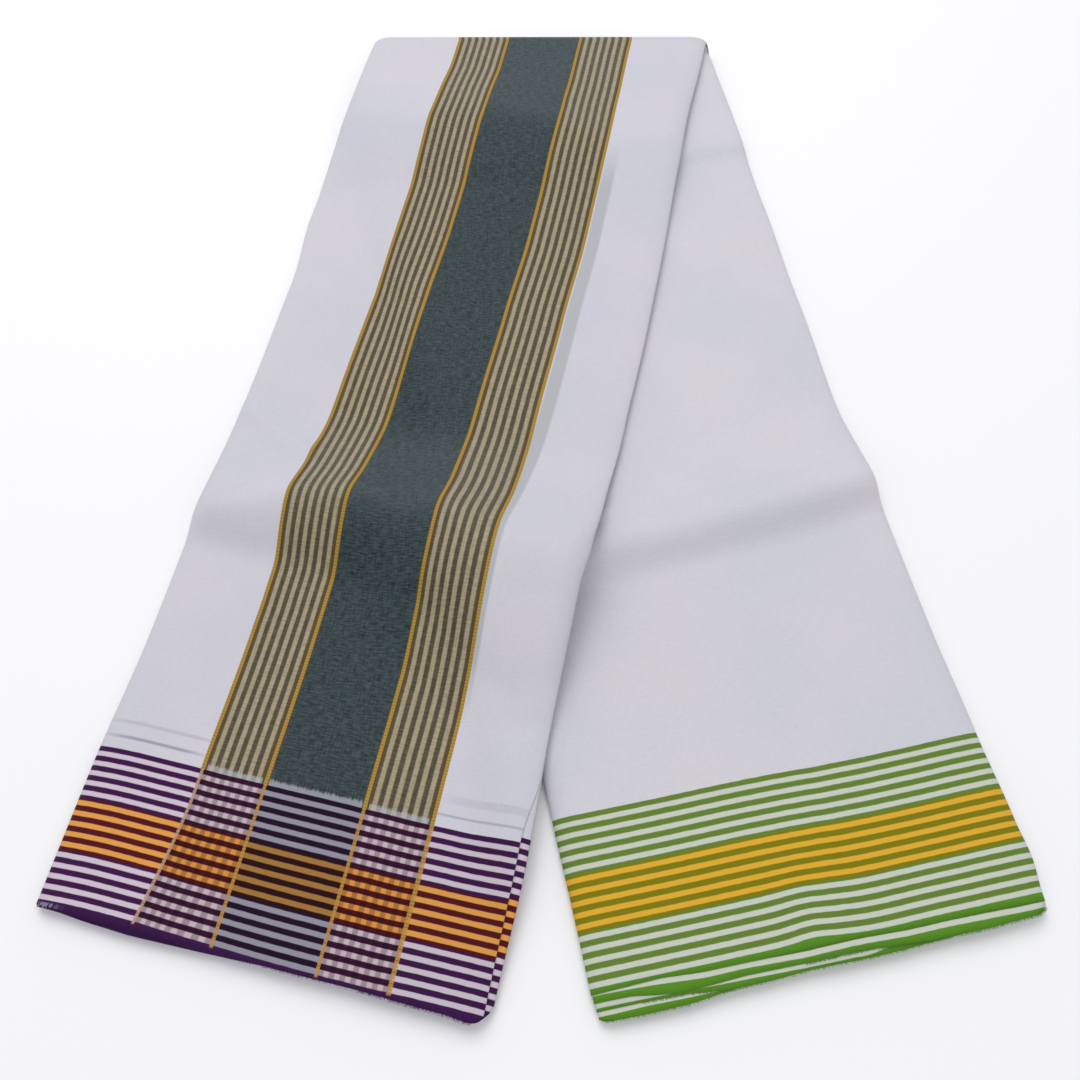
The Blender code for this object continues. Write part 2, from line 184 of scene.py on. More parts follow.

# %% [markdown]
# ## Small creases
#
# Handling leaves shallow troughs and ripples. Each row below is one, from one place to another
# on an arm, with its height (negative for a trough) and its half width. They are uneven in
# length and spacing, as creases are.

# %% Creases: side, from (u, s), to (u, s), height, half width
CREASES = (
    (UPPER, -0.110, 0.235, -0.030, 0.255, -0.0006, 0.008),
    (UPPER, 0.060, 0.180, 0.110, 0.200, -0.0005, 0.007),
    (UPPER, -0.012, 0.078, 0.030, 0.074, -0.0010, 0.006),
    (UPPER, -0.104, 0.350, -0.064, 0.374, 0.0040, 0.008),
    (UPPER, -0.105, 0.460, -0.040, 0.470, -0.0006, 0.009),
    (UPPER, 0.010, 0.505, 0.090, 0.500, 0.0005, 0.010),
    (UPPER, 0.075, 0.300, 0.085, 0.360, -0.0005, 0.008),
    (UPPER, 0.080, 0.446, 0.110, 0.442, -0.0005, 0.006),
    (UPPER, 0.085, 0.512, 0.110, 0.508, -0.0005, 0.006),
    (UPPER, 0.080, 0.542, 0.110, 0.540, -0.0004, 0.006),
    (LOWER, 0.020, 0.138, 0.112, 0.138, -0.0008, 0.004),
    (LOWER, -0.050, 0.394, 0.105, 0.386, 0.0012, 0.004),
    (LOWER, -0.090, 0.449, -0.062, 0.449, -0.0004, 0.005),
    (LOWER, -0.090, 0.497, -0.060, 0.499, -0.0004, 0.005),
    (LOWER, -0.020, 0.455, 0.100, 0.440, -0.0005, 0.009),
    (LOWER, 0.010, 0.245, 0.100, 0.235, -0.0004, 0.010),
    (LOWER, -0.010, 0.520, 0.060, 0.500, 0.0004, 0.010),
    (LOWER, 0.005, 0.640, 0.030, 0.560, 0.0010, 0.012),
    (LOWER, 0.050, 0.640, 0.060, 0.590, -0.0007, 0.010),
)
CREASE_REACH = 3
# Two crossing waves, 99 and 134 mm long, make the cloth faintly uneven.
SLACK_HEIGHT = 0.00022
SLACK_WAVES = ((61, 17, 0.0), (23, -41, 1.3))


def creases(side, u, s):
    """Sum of the small creases at a place on an arm."""
    total = 0.0
    for crease_side, u0, s0, u1, s1, height, width in CREASES:
        if crease_side != side:
            continue
        du, ds = u1 - u0, s1 - s0
        t = ((u - u0) * du + (s - s0) * ds) / (du * du + ds * ds)
        t = min(max(t, 0.0), 1.0)
        away = hypot(u - u0 - t * du, s - s0 - t * ds) / width
        if away < CREASE_REACH:
            total += height * exp(-away * away)
    return total


def slack(u, s):
    """The faint unevenness of a cloth that was laid down by hand."""
    return SLACK_HEIGHT * sum(sin(a * u + b * s + c) for a, b, c in SLACK_WAVES)


print(len(CREASES), "small creases")

# %% [markdown]
# ## Where each place on the cloth lies
#
# A place is given by its arm, by u across the strip and by s along it. A strip that was laid
# down by hand isn't quite straight, so its edges and its middle stray a few millimetres.

# %% How the laid-down strip strays sideways: s, then left edge, middle, right edge
STRAY = {
    UPPER: (
        (0.000, -0.0030, 0.0020, 0.0080),
        (0.060, -0.0035, 0.0030, 0.0062),
        (0.110, -0.0045, 0.0042, 0.0070),
        (0.190, -0.0030, 0.0044, 0.0084),
        (0.250, 0.0018, 0.0028, 0.0085),
        (0.320, 0.0024, 0.0018, 0.0070),
        (0.380, 0.0020, 0.0016, 0.0048),
        (0.410, 0.0015, 0.0002, 0.0036),
        (0.435, 0.0010, 0.0002, 0.0014),
        (0.500, 0.0016, 0.0009, 0.0010),
        (0.580, -0.0004, 0.0010, 0.0030),
        (0.640, -0.0004, 0.0006, 0.0014),
    ),
    LOWER: (
        (0.000, -0.0030, 0.0020, 0.0080),
        (0.086, -0.0020, 0.0020, 0.0070),
        (0.180, 0.0000, 0.0000, 0.0028),
        (0.264, 0.0000, 0.0000, 0.0000),
        (0.349, 0.0000, 0.0000, -0.0030),
        (0.409, 0.0000, 0.0000, -0.0006),
        (0.494, 0.0000, 0.0000, -0.0010),
        (0.554, 0.0005, 0.0000, 0.0000),
        (0.600, 0.0010, 0.0000, 0.0016),
        (0.618, 0.0010, 0.0000, 0.0026),
        (0.640, 0.0010, 0.0000, 0.0002),
    ),
}
STRAY_MIDDLE = (-0.060, 0.068)


def strayed(side, u, s):
    """Where a place really lies across the strip."""
    left, middle, right = read_table(STRAY[side], s, smooth)
    if u < STRAY_MIDDLE[0]:
        return u + mix(middle, left, (STRAY_MIDDLE[0] - u) / (STRAY_MIDDLE[0] + HALF))
    if u > STRAY_MIDDLE[1]:
        return u + mix(middle, right, (u - STRAY_MIDDLE[1]) / (HALF - STRAY_MIDDLE[1]))
    return u + middle


def arm_xy(side, u, s):
    """Where a place on an arm lies on the floor, measured from the middle of the turn."""
    u = strayed(side, u, s)
    x = u * cos(SPLAY) + side * s * sin(SPLAY)
    y = side * u * sin(SPLAY) - s * cos(SPLAY)
    return x, y


print("the left hem corner is at", [round(v, 4) for v in arm_xy(UPPER, -HALF, ARM)])

# %% [markdown]
# Each arm has a top and an underside. The stack is deepest at the turn, where it puffs up. The
# upper arm rests on the lower one. Past the lower arm's edge it spans a little way and then
# comes down, and it lifts at its own free edge, where the middle ridge holds it up.

# %% Tops and undersides
PUFF_ENDS = (0.050, 0.132)
BORDER_DEEPENS = (0.500, 0.560)
DRAPE = 0.055
ARM_GAP = 0.0011
GAP_OPENS = (0.0, 0.090)
# Past the lower arm's edge: how far the upper arm runs on, and its slope's length for its height
SPAN = 0.012
SPAN_SLOPE = 4.0
# The share of the middle ridge that lifts the underside at the free edge, and where it starts
EDGE_LIFT = 0.60
LIFT_STARTS = 0.045


def stack_depth(s):
    """How deep an arm's layers are together."""
    puff = TURN_PUFF * (1 - ramp(s, *PUFF_ENDS))
    return mix(STACK, HEM_STACK, ramp(s, *BORDER_DEEPENS)) + puff


def lower_top(u, s):
    """Height of the lower arm's top over the floor."""
    base = stack_depth(s) + ridge(LOWER_FIRST, u, s) + ridge(LOWER_MIDDLE, u, s)
    return base + creases(LOWER, u, s) + slack(u, s)


def upper_rest(u, s):
    """Height at which the lower arm carries the upper one: 0 on the floor."""
    x, y = arm_xy(UPPER, u, s)
    place_u = x * cos(SPLAY) + y * sin(SPLAY)
    place_s = x * sin(SPLAY) - y * cos(SPLAY)
    carrier = stack_depth(place_s) + mix(GAP, ARM_GAP, ramp(s, *GAP_OPENS))
    for table in (LOWER_FIRST, LOWER_MIDDLE):
        carrier += ridge(table, max(place_u, -HALF), place_s, DRAPE)
    beyond_edge = -HALF - place_u - SPAN
    return carrier * (1 - smooth(beyond_edge / (SPAN_SLOPE * carrier)))


def upper_top(u, s):
    """Height of the upper arm's top over the floor."""
    base = upper_rest(u, s) + stack_depth(s)
    base += ridge(UPPER_FIRST, u, s) + ridge(UPPER_MIDDLE, u, s)
    return base + creases(UPPER, u, s) + slack(u, s)


def upper_under(u, s):
    """Height of the upper arm's underside over the floor."""
    lift = EDGE_LIFT * ramp(u, LIFT_STARTS, HALF)
    return upper_rest(u, s) + lift * ridge(UPPER_MIDDLE, u, s)


def lower_under(u, s):
    """The lower arm lies flat on the floor."""
    return 0.0


TOPS = {UPPER: upper_top, LOWER: lower_top}
UNDERS = {UPPER: upper_under, LOWER: lower_under}
print("the middle ridge stands", round(upper_top(0, 0.401) * 1000, 1), "mm over the floor")

# %% [markdown]
# The solids are centred on the origin, but the folds are measured from the middle of the turn.
# The frame's own box gives the step from one to the other.

# %% Find the middle of the turn in the frame
# How far the purple hem runs past the arm's length at its left corner
LEFT_HEM_RUN = 0.0008
low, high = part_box("outer_cloth")
left_hem_x = arm_xy(UPPER, -HALF, ARM + LEFT_HEM_RUN)[0]
TURN_MIDDLE = Vector((low[0] - left_hem_x, high[1], 0))
print("middle of the turn at", [round(v, 4) for v in TURN_MIDDLE])

# %% [markdown]
# ## Sections
#
# Every piece of this cloth is made from sections, one for each station along the strip. A
# section is flat in the middle and rounds down over a shoulder at each edge, because the folded
# edges of a stack are thinner than its middle.

# %% Places across a section
SHOULDER = 0.0120
SHOULDER_ANGLES = (84, 72, 60, 47, 34, 20, 8)
EDGE_LEVEL = 0.40
COLUMN = 0.0032


def spread(start, end, spacing):
    """Marks from start to end, about one spacing apart."""
    count = max(1, round((end - start) / spacing))
    return [mix(start, end, i / count) for i in range(count + 1)]


def columns(left, right, shoulder=SHOULDER, spacing=COLUMN):
    """Places across a section: close together over the shoulders."""
    arc = [shoulder * sin(radians(angle)) for angle in SHOULDER_ANGLES]
    flat_left, flat_right = -left + shoulder, right - shoulder
    edge_left = [flat_left - a for a in arc]
    edge_right = [flat_right + a for a in reversed(arc)]
    return edge_left + spread(flat_left, flat_right, spacing) + edge_right


def crown(u, left, right, shoulder=SHOULDER):
    """1 over the flat of a section, falling to 0 at its edges."""
    k = max(0.0, -u - (left - shoulder), u - (right - shoulder)) / shoulder
    return sqrt(max(0.0, 1 - k * k))


print("places across:", len(columns(HALF, HALF)))

# %% [markdown]
# Near the turn the stations run level with it. Near the hem each layer has a run of its own:
# how far it reaches past the arm's length. No layer ends in a straight line, so a run is a
# table of places across the strip, in millimetres.

# %% Stations and the runs of the layers
STATION = 0.0034
# From the turn on, the stations come round to lie square across the arm over this length.
LEVEL_LENGTH = 0.090
STRETCH_STARTS = 0.560


def station_s(side, u, station):
    """The s of a station: beside the turn, the stations run level with the turn."""
    beside_turn = (TURN_RADIUS + side * strayed(side, u, 0) * sin(SPLAY)) / cos(SPLAY)
    fade = 1 - smooth((station - TURN_REACH) / LEVEL_LENGTH)
    return station + (beside_turn - TURN_REACH) * fade


def layer_s(side, u, station, runs):
    """The s of a station on a layer, which is stretched near the hem to the layer's own run."""
    stretch = ramp(station, STRETCH_STARTS, ARM)
    return station_s(side, u, station) + stretch * read_table(runs, u * 1000)[0] / 1000


PURPLE_TOP_RUNS = (
    (-112.5, 0.8), (-65, 2.0), (-29, 3.9), (-11, 4.6), (11, 5.3), (50, 6.0), (75, 7.2), (92, 7.8),
    (101, 9.0), (104.5, 8.8), (106.5, 8.0), (108.6, 5.8),
)
GREEN_TOP_RUNS = (
    (-112.5, -4.5), (-78, -5.1), (-58, -3.6), (-39, -3.2), (-19, -2.8), (20, -2.6), (40, -1.4),
    (60, -1.2), (79, -1.1), (112.5, 0.2),
)
STATIONS = spread(TURN_REACH, ARM, STATION)
print(len(STATIONS), "stations along an arm")

# %% [markdown]
# ## The weave's own map
#
# Each sheet carries a UV map of the flat cloth, in metres: the first number runs across the
# strip, and the second along it, from the green hem, below zero, to the purple hem. The woven
# pattern is drawn on that map, so it follows every fold. A hand-laid border isn't straight: it
# lies at a slant, opens a little towards one side, and waves. The map takes all of that in, so
# the pattern itself stays a row of straight lines.

# %% How the borders lie: where they start, their pitch, slant and opening, in millimetres
PURPLE = dict(first=562.93, pitch=5.217, slant=0.0225, opening=0.00067)
GREEN = dict(first=553.11, pitch=5.393, slant=0.0082, opening=0.00049)
# The selvedge comes after fifteen stripes.
SELVEDGE = 15
print("the purple border is", round(SELVEDGE * PURPLE["pitch"]), "mm deep before its selvedge")

# %% [markdown]
# The stripes wave as the cloth was laid. A table gives their waves across each arm, which
# partly fade towards the selvedge. On the purple border one long swell is added, which grows
# towards the selvedge. On the green one, the top layer has a dip beside a rise.

# %% How far the stripes wave towards the hem, at places across an arm, in millimetres
LAGS = {
    UPPER: (
        (-112, 0.9), (-90, 0.35), (-63, 0.6), (-44, 1.15), (18, 1.1), (37, 1.3), (56, 1.6),
        (75, 1.35), (112, 1.0),
    ),
    LOWER: (
        (-112, 1.1), (-60, 1.15), (-18, 0.9), (0, 1.0), (11, 1.3), (25, 1.9), (45, 1.95),
        (68, 1.75), (96, 1.25), (112, 1.0),
    ),
}
# The share that is gone at the selvedge, and the stripe that it fades from
LAG_FADES = {UPPER: (0.25, 9), LOWER: (0.50, 7)}
SWELL_HEIGHT, SWELL_MIDDLE, SWELL_LENGTH = 0.7, 15, 165
# The dip and the rise: middle, width, height
BUMPS = ((-3, 11, -1.4), (32, 14, 0.5))
BUMPS_START, BUMPS_FULL = 6, 14


def wave(side, u_mm, count, on_top):
    """How far a stripe waves towards the hem, in millimetres. The count is the stripe's."""
    fading, fade_start = LAG_FADES[side]
    lag = read_table(LAGS[side], u_mm, smooth)[0]
    lag *= 1 - fading * ramp(count, fade_start, SELVEDGE)
    if side == UPPER:
        swell = cos(2 * pi * (u_mm - SWELL_MIDDLE) / SWELL_LENGTH)
        return lag + SWELL_HEIGHT * swell * count / SELVEDGE
    bumps = sum(rise * exp(-(((u_mm - at) / width) ** 2)) for at, width, rise in BUMPS)
    return lag + bumps * ramp(count, BUMPS_START, BUMPS_FULL) * on_top


print("the purple selvedge swells by", round(wave(UPPER, SWELL_MIDDLE, SELVEDGE, True), 1), "mm")

# %% [markdown]
# All of that turns a place on an arm into a place on the flat cloth. Towards the purple hem,
# the gold lines on the left also swing outwards.

# %% From a place on an arm to the weave
DRIFT_STARTS, DRIFT_FULL = 0.500, 0.540
SWING, SWING_STARTS, SWING_LENGTH, SWING_POWER = 0.0070, 0.575, 0.067, 1.5
SWING_SIDE = (0.020, 0.050)


def weave_place(side, u, s, shift_mm=0.0, on_top=True):
    """A place on the flat cloth, for the UV map."""
    lie = PURPLE if side == UPPER else GREEN
    u_mm, s_mm = u * 1000, s * 1000
    count = max((s_mm - lie["first"]) / lie["pitch"], 0.0)
    drift = (lie["slant"] + lie["opening"] * count) * u_mm + wave(side, u_mm, count, on_top)
    drift = (drift + shift_mm) * ramp(s, DRIFT_STARTS, DRIFT_FULL)
    if side == UPPER:
        swing = (max(s - SWING_STARTS, 0.0) / SWING_LENGTH) ** SWING_POWER
        u += SWING * swing * ramp(-u, *SWING_SIDE)
    return u, -side * (s - drift / 1000)


print("the left hem corner on the weave:", [round(v, 4) for v in weave_place(UPPER, -HALF, ARM)])

# %% [markdown]
# A point of a sheet then needs its arm, its u and its station. Its level says how far up the
# section it is: 0 at the folded edge, and 1 on the flat.

# %% A place on an arm
def arm_place(side, u, station, runs, level, depth=0.0, shift_mm=0.0, on_top=True):
    """A point on an arm, at a depth below its top, and its place on the weave."""
    s = layer_s(side, u, station, runs)
    top, under = TOPS[side](u, s), UNDERS[side](u, s)
    edge = mix(under, top, EDGE_LEVEL)
    x, y = arm_xy(side, u, s)
    weave = weave_place(side, u, s, shift_mm, on_top)
    return Vector((x, y, mix(edge, top - depth, level))), weave


print("the hem's middle:", arm_place(UPPER, 0, ARM, PURPLE_TOP_RUNS, 1)[0])

# %% [markdown]
# A grid already has the faces and the order of a woven sheet, so each sheet starts as one, and
# its vertices are moved to their places. A Solidify modifier then gives it the thickness of
# the cloth, downwards, so the face stays where it was put.

# %% Make a sheet of cloth from rows of places
WELD = 0.000001


def cloth(name, rows, closed=False):
    """A sheet whose rows hold (point, place on the weave) pairs."""
    if closed:
        rows = [row + row[:1] for row in rows]
    last_column, last_row = len(rows[0]) - 1, len(rows) - 1

    def pair(vertex):
        """The pair for a vertex of the grid, which spans -1 to 1."""
        i, j = (vertex.co.x + 1) / 2 * last_column, (vertex.co.y + 1) / 2 * last_row
        return rows[round(j)][round(i)]

    bm = bmesh.new()
    bmesh.ops.create_grid(bm, x_segments=last_column, y_segments=last_row, size=1)
    weave = bm.loops.layers.uv.new("weave")
    for face in bm.faces:
        for loop in face.loops:
            loop[weave].uv = pair(loop.vert)[1]
    for vertex in bm.verts:
        vertex.co = pair(vertex)[0] + TURN_MIDDLE
    if closed:
        bmesh.ops.remove_doubles(bm, verts=bm.verts, dist=WELD)
        open_edges = [edge for edge in bm.edges if edge.is_boundary]
        caps = bmesh.ops.holes_fill(bm, edges=open_edges, sides=0)["faces"]
        bmesh.ops.triangulate(bm, faces=caps)
    mesh = bpy.data.meshes.new(name)
    bm.to_mesh(mesh)
    bm.free()
    mesh.shade_smooth()
    piece = bpy.data.objects.new(name, mesh)
    bpy.context.scene.collection.objects.link(piece)
    if not closed:
        wall = piece.modifiers.new("cloth thickness", "SOLIDIFY")
        wall.thickness = SHEET
        wall.offset = -1
    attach(piece, "root")
    print(f"{name}: {len(mesh.vertices)} vertices")
    return piece


print("a sheet is drawn", SHEET * 1000, "mm thick")

# %% [markdown]
# ## The outermost layer
#
# One sheet covers the upper arm, goes round the turn at the far end and runs back underneath
# the lower arm. Its left edge is a smooth fold. Near the purple hem its right edge sits 4 to
# 5 mm in, so that the layer below shows beside it. There it lies on that layer, not beside it.

# %% The upper arm's edges
EDGE_INSET = 0.0006
# How much further in the right edge sits near the hem: by, from, to
HEM_INSETS = ((0.0044, 0.530, 0.566), (-0.0011, 0.580, 0.640))
WRAP = 0.004
WRAP_ANGLES = (72, 52, 32, 14)


def top_right_half(s):
    """Half width of the upper arm's top layer, on its right side."""
    narrower = sum(inset * ramp(s, start, end) for inset, start, end in HEM_INSETS)
    return HALF - EDGE_INSET - narrower


def wrap(side, station, runs, depth=0.0):
    """The smooth left edge, from close to the floor up to its widest place."""
    places = []
    for angle in WRAP_ANGLES:
        u = -HALF + WRAP * (1 - cos(radians(angle)))
        edge_point, weave = arm_place(side, u, station, runs, 0)
        under = UNDERS[side](u, layer_s(side, u, station, runs))
        height = mix(edge_point.z, under + depth, sin(radians(angle)))
        places.append((Vector((edge_point.x, edge_point.y, height)), (u - WRAP, weave[1])))
    return places + [arm_place(side, -HALF, station, runs, 0)]


print("the top layer is", round(top_right_half(0.50) * 1000, 1), "mm wide to the right of the")
print("middle, and", round(top_right_half(ARM) * 1000, 1), "mm at the hem")

# %% [markdown]
# Near the hem the upper arm's right side is raised, so that it lies on the layer below it and
# ends in a small step down.

# %% The upper arm's rows
STEP_DOWN = 0.0008
STEP_STARTS, STEP_FULL = 0.515, 0.535
# The second layer's left half width, right half width and shoulder
BELOW_TOP = (HALF - 0.0010, HALF - 0.0004, SHOULDER - 0.0010)


def upper_row(station):
    """One section of the upper arm, raised near the hem onto the layer below it."""
    right = top_right_half(station)
    row = wrap(UPPER, station, PURPLE_TOP_RUNS)
    for u in columns(HALF, HALF):
        u_here = u if u < 0 else u * right / HALF
        here = (UPPER, u_here, station, PURPLE_TOP_RUNS)
        point, weave = arm_place(*here, crown(u_here, HALF, right))
        if u > 0:
            below = arm_place(*here, crown(u_here, *BELOW_TOP), LAYER)[0]
            raised = max(point.z, below.z + STEP_DOWN)
            point.z = mix(point.z, raised, ramp(station, STEP_STARTS, STEP_FULL))
        row.append((point, weave))
    return row


upper_rows = [upper_row(station) for station in reversed(STATIONS)]
print(len(upper_rows), "rows on the upper arm")

# %% [markdown]
# Round the turn a section keeps its shape, but it stands on the radius of the turn. Seen from
# above, the turn is as skew as the two arms are splayed, so its places shift sideways with the
# angle.

# %% The turn's rows
# How far the inner corners of a section round off
CORNER = 0.004
# The steps of the smooth left edge, and how far in it lies below and above
TURN_WRAP = 0.0004
TURN_WRAP_BELOW, TURN_WRAP_ABOVE = 0.0020, 0.0006


def turn_place(u, angle, radius):
    """A point of the turn: the angle runs from 90, on top, to -90, below."""
    a = radians(angle)
    x = strayed(UPPER, u, 0) / cos(SPLAY) - TURN_RADIUS * tan(SPLAY) * sin(a)
    point = Vector((x, radius * cos(a) - TURN_RADIUS, TURN_RADIUS + radius * sin(a)))
    return point, (u, TURN_RADIUS * a)


def turn_edge(angle):
    """Radius of the strip's edge round the turn."""
    low = TURN_RADIUS - EDGE_LEVEL * stack_depth(0)
    high = GAP / 2 + EDGE_LEVEL * stack_depth(0)
    return mix(low, high, (sin(radians(angle)) + 1) / 2)


def turn_row(angle):
    """One section of the turn, with as many places as a section of an arm."""
    share = (angle + 90) / 180
    edge = turn_edge(angle)
    wrap_u = -HALF + mix(TURN_WRAP_BELOW, TURN_WRAP_ABOVE, share)
    row = [turn_place(wrap_u, angle, edge - TURN_WRAP * k) for k in (4, 3, 2, 1)]
    row.append(turn_place(-HALF, angle, edge))
    for u in columns(HALF, HALF):
        level = crown(u, HALF, HALF, mix(CORNER, SHOULDER, share))
        row.append(turn_place(u, angle, mix(edge, TURN_RADIUS, level)))
    return row


TURN_ANGLES = range(78, -79, -12)
turn_rows = [turn_row(angle) for angle in TURN_ANGLES]
print("the turn stands", round(TURN_RADIUS * 2000, 1), "mm high, in", len(turn_rows), "rows")

# %% [markdown]
# Underneath the lower arm the sheet lies flat on the floor, a little in from the edges of the
# layers above. Nothing bends there, so its rows can stand further apart.

# %% The rows underneath, and the whole sheet
UNDERSIDE_RUNS = ((-112.5, 3.0), (-104, 6.6), (0, 4.6), (100, 2.6), (112.5, 0.0))
UNDER_STATION = 0.012
# Five close places match the five of the smooth left edge.
UNDER_LEFT = [-HALF + 0.0020 + 0.0002 * k for k in range(5)]
UNDER_FLAT = (-HALF + 0.003, HALF - 0.002)


def under_row(station):
    """The outermost layer under the lower arm, flat on the floor."""
    flat = [mix(*UNDER_FLAT, (u + HALF) / STRIP_WIDTH) for u in columns(HALF, HALF)]
    row = []
    for u in UNDER_LEFT + flat:
        s = layer_s(LOWER, u, station, UNDERSIDE_RUNS)
        row.append((Vector((*arm_xy(LOWER, u, s), 0)), weave_place(LOWER, u, s, on_top=False)))
    return row


under_rows = [under_row(station) for station in spread(TURN_REACH, ARM, UNDER_STATION)]
outer = cloth("outer_cloth_woven", upper_rows + turn_rows + under_rows)
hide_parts("outer_cloth")

# %% [markdown]
# ## The layer that faces up on the lower arm
#
# It starts deep inside the turn, between the two arms, and ends at the green hem.

# %% Lower arm
# Its left edge starts this far above the floor, over the outermost sheet.
LOWER_WRAP_LIFT = 0.0008


def lower_row(station):
    """One section of the lower arm."""
    row = wrap(LOWER, station, GREEN_TOP_RUNS, LOWER_WRAP_LIFT)
    for u in columns(HALF, HALF):
        row.append(arm_place(LOWER, u, station, GREEN_TOP_RUNS, crown(u, HALF, HALF)))
    return row


lower = cloth("lower_arm_woven", [lower_row(station) for station in reversed(STATIONS)])
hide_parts("lower_arm_cloth")

# %% [markdown]
# ## Layers at the hems
#
# The layers don't end level. At the purple hem the second layer shows beside the first, half a
# stripe up. At the green hem four layers fan out, most of all at the left, and their stripes
# step with them. Each layer is a sheet of its own, a little lower than the one above, with a
# run of its own and a shift of its weave, both as tables across the strip.

# %% Hem layers: name, node, arm, layers down, runs, weave shifts, right inset
HEM_LAYERS = (
    (
        "purple_layer_2", "purple_hem_layer_2", UPPER, 1,
        ((-112.5, 1.6), (-60, 2.8), (0, 4.2), (35, 4.6), (60, 5.4), (102, 7.4), (106.5, 7.2),
         (108.5, 5.8), (110.5, 3.4), (112.5, -1.5)),
        ((-112.5, -2.6), (112.5, -2.6)), 0.0004,
    ),
    (
        "purple_layer_3", "purple_hem_layer_3", UPPER, 2,
        ((-112.5, 1.8), (-60, 3.6), (0, 4.2), (35, 4.6), (60, 5.2), (100, 5.4), (107, 3.6),
         (110, 0.0)),
        ((-112.5, -1.0), (112.5, -1.0)), 0.0030,
    ),
    (
        "green_layer_2", "green_hem_layer_2", LOWER, 1,
        ((-107, -0.8), (-94, -0.4), (-83, 1.5), (-72, 2.9), (-62, 3.0), (-39, 2.2), (-9, 3.0),
         (20, 3.2), (50, 5.7), (79, 6.3), (106, 5.6), (109.5, 3.8), (112.5, 0.8)),
        ((-107, 3.3), (-94, 3.6), (-81, 4.1), (-68, 5.0), (-58, 5.6), (-39, 5.4), (-9, 6.4),
         (20, 5.5), (40, 6.1), (60, 5.9), (79, 6.3), (98, 6.8)), 0.0004,
    ),
    (
        "green_layer_3", "green_hem_layer_3", LOWER, 2,
        ((-107, 2.9), (-88, 3.2), (-68, 3.9), (-49, 6.5), (-29, 6.8), (-9, 6.2), (20, 7.0),
         (36, 7.0), (70, 6.0), (107, 4.5)),
        ((-107, 8.8), (-88, 9.0), (-9, 10.8), (20, 10.6), (36, 8.2)), 0.0010,
    ),
    (
        "green_layer_4", None, LOWER, 3,
        ((-112, 5.6), (-109, 7.4), (-104, 8.0), (-88, 8.4), (-68, 8.5), (-49, 6.8), (0, 5.0),
         (112, 2.0)),
        ((-105, 12.5), (-88, 12.1), (-68, 12.4)), 0.0020,
    ),
)
print(", ".join(layer[0] for layer in HEM_LAYERS), "are to be made")

# %% [markdown]
# Each layer further down is a little narrower, with a sharper shoulder. Only the last 120 mm
# of it are made, because the rest would lie hidden under the layers above.

# %% Make the hem layers
HEM_START = 0.520
NARROWER, SHARPER = 0.0004, 0.0006


def hem_layer(name, side, down, runs, shifts, inset):
    """A sheet that lies a few layers down near a hem."""
    section = (HALF - NARROWER * down, HALF - inset, SHOULDER - SHARPER * down)
    rows = []
    for station in reversed(spread(HEM_START, ARM, STATION)):
        row = []
        for u in columns(*section):
            shift = read_table(shifts, u * 1000)[0]
            level = crown(u, *section)
            row.append(arm_place(side, u, station, runs, level, down * LAYER, shift, False))
        rows.append(row)
    return cloth(name, rows)


hem_pieces = {}
for name, replaced, side, down, runs, shifts, inset in HEM_LAYERS:
    hem_pieces[name] = hem_layer(name, side, down, runs, shifts, inset)
    if replaced:
        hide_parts(replaced)

# %% [markdown]
# ## The hidden layers
#
# Between the sheets that show lies the rest of the stack. It is one closed body, with a section
# that goes along its outer side, down its many-folded right edge and back along its inner
# side. The right edge is a row of small rounded folds, each of them a few layers deep.

# %% The section of the folded layers
FOLDS = 7
FOLD_STEPS = 4
FOLD_BULGE = 0.0011
FOLD_ROUND = 0.5


def folded_edge(top, bottom, out):
    """Points down the layered edge: a rounded bulge for each fold."""
    (high, weave), (low, _) = top, bottom
    points = []
    for i in range(1, FOLDS * FOLD_STEPS):
        bulge = abs(sin(i / FOLD_STEPS * pi)) ** FOLD_ROUND - 1
        point = high.lerp(low, i / (FOLDS * FOLD_STEPS)) + out * FOLD_BULGE * bulge
        points.append((point, weave))
    return points


def stack_section(outer_row, inner_row, fold_edge, out):
    """A ring round the stack: outer side, layered edge, inner side and smooth left edge."""
    edge = folded_edge(outer_row[-1], inner_row[-1], out)
    return outer_row + edge + inner_row[::-1] + [fold_edge]


print(FOLDS, "folds show at the layered edge")

# %% [markdown]
# On an arm the stack lies a millimetre inside the sheets. Near the hem it gives way to the
# layers that show there.

# %% The stack on the arms
UPPER_STACK_RUNS = (
    (-112.5, 1.4), (-105, 1.6), (-88, 3.5), (-65, 5.0), (-29, 5.1), (11, 4.7), (50, 5.0),
    (70, 5.8), (100, 6.0), (106, 4.4), (110, 1.0),
)
LOWER_STACK_RUNS = ((-112.5, 2.0), (-104, 5.0), (0, 4.6), (100, 3.0), (112.5, 0.0))
STACK_COLUMN = 0.0048
STACK_SHOULDER = SHOULDER - INNER_INSET
STACK_FULL = 0.540
SIDE_INSET = 0.0008
SHOWN_AT_HEM = {UPPER: 2, LOWER: 3}
STACK_RUNS = {UPPER: UPPER_STACK_RUNS, LOWER: LOWER_STACK_RUNS}
STACK_FLOOR = {UPPER: 0.0, LOWER: SHEET + CLEARANCE}


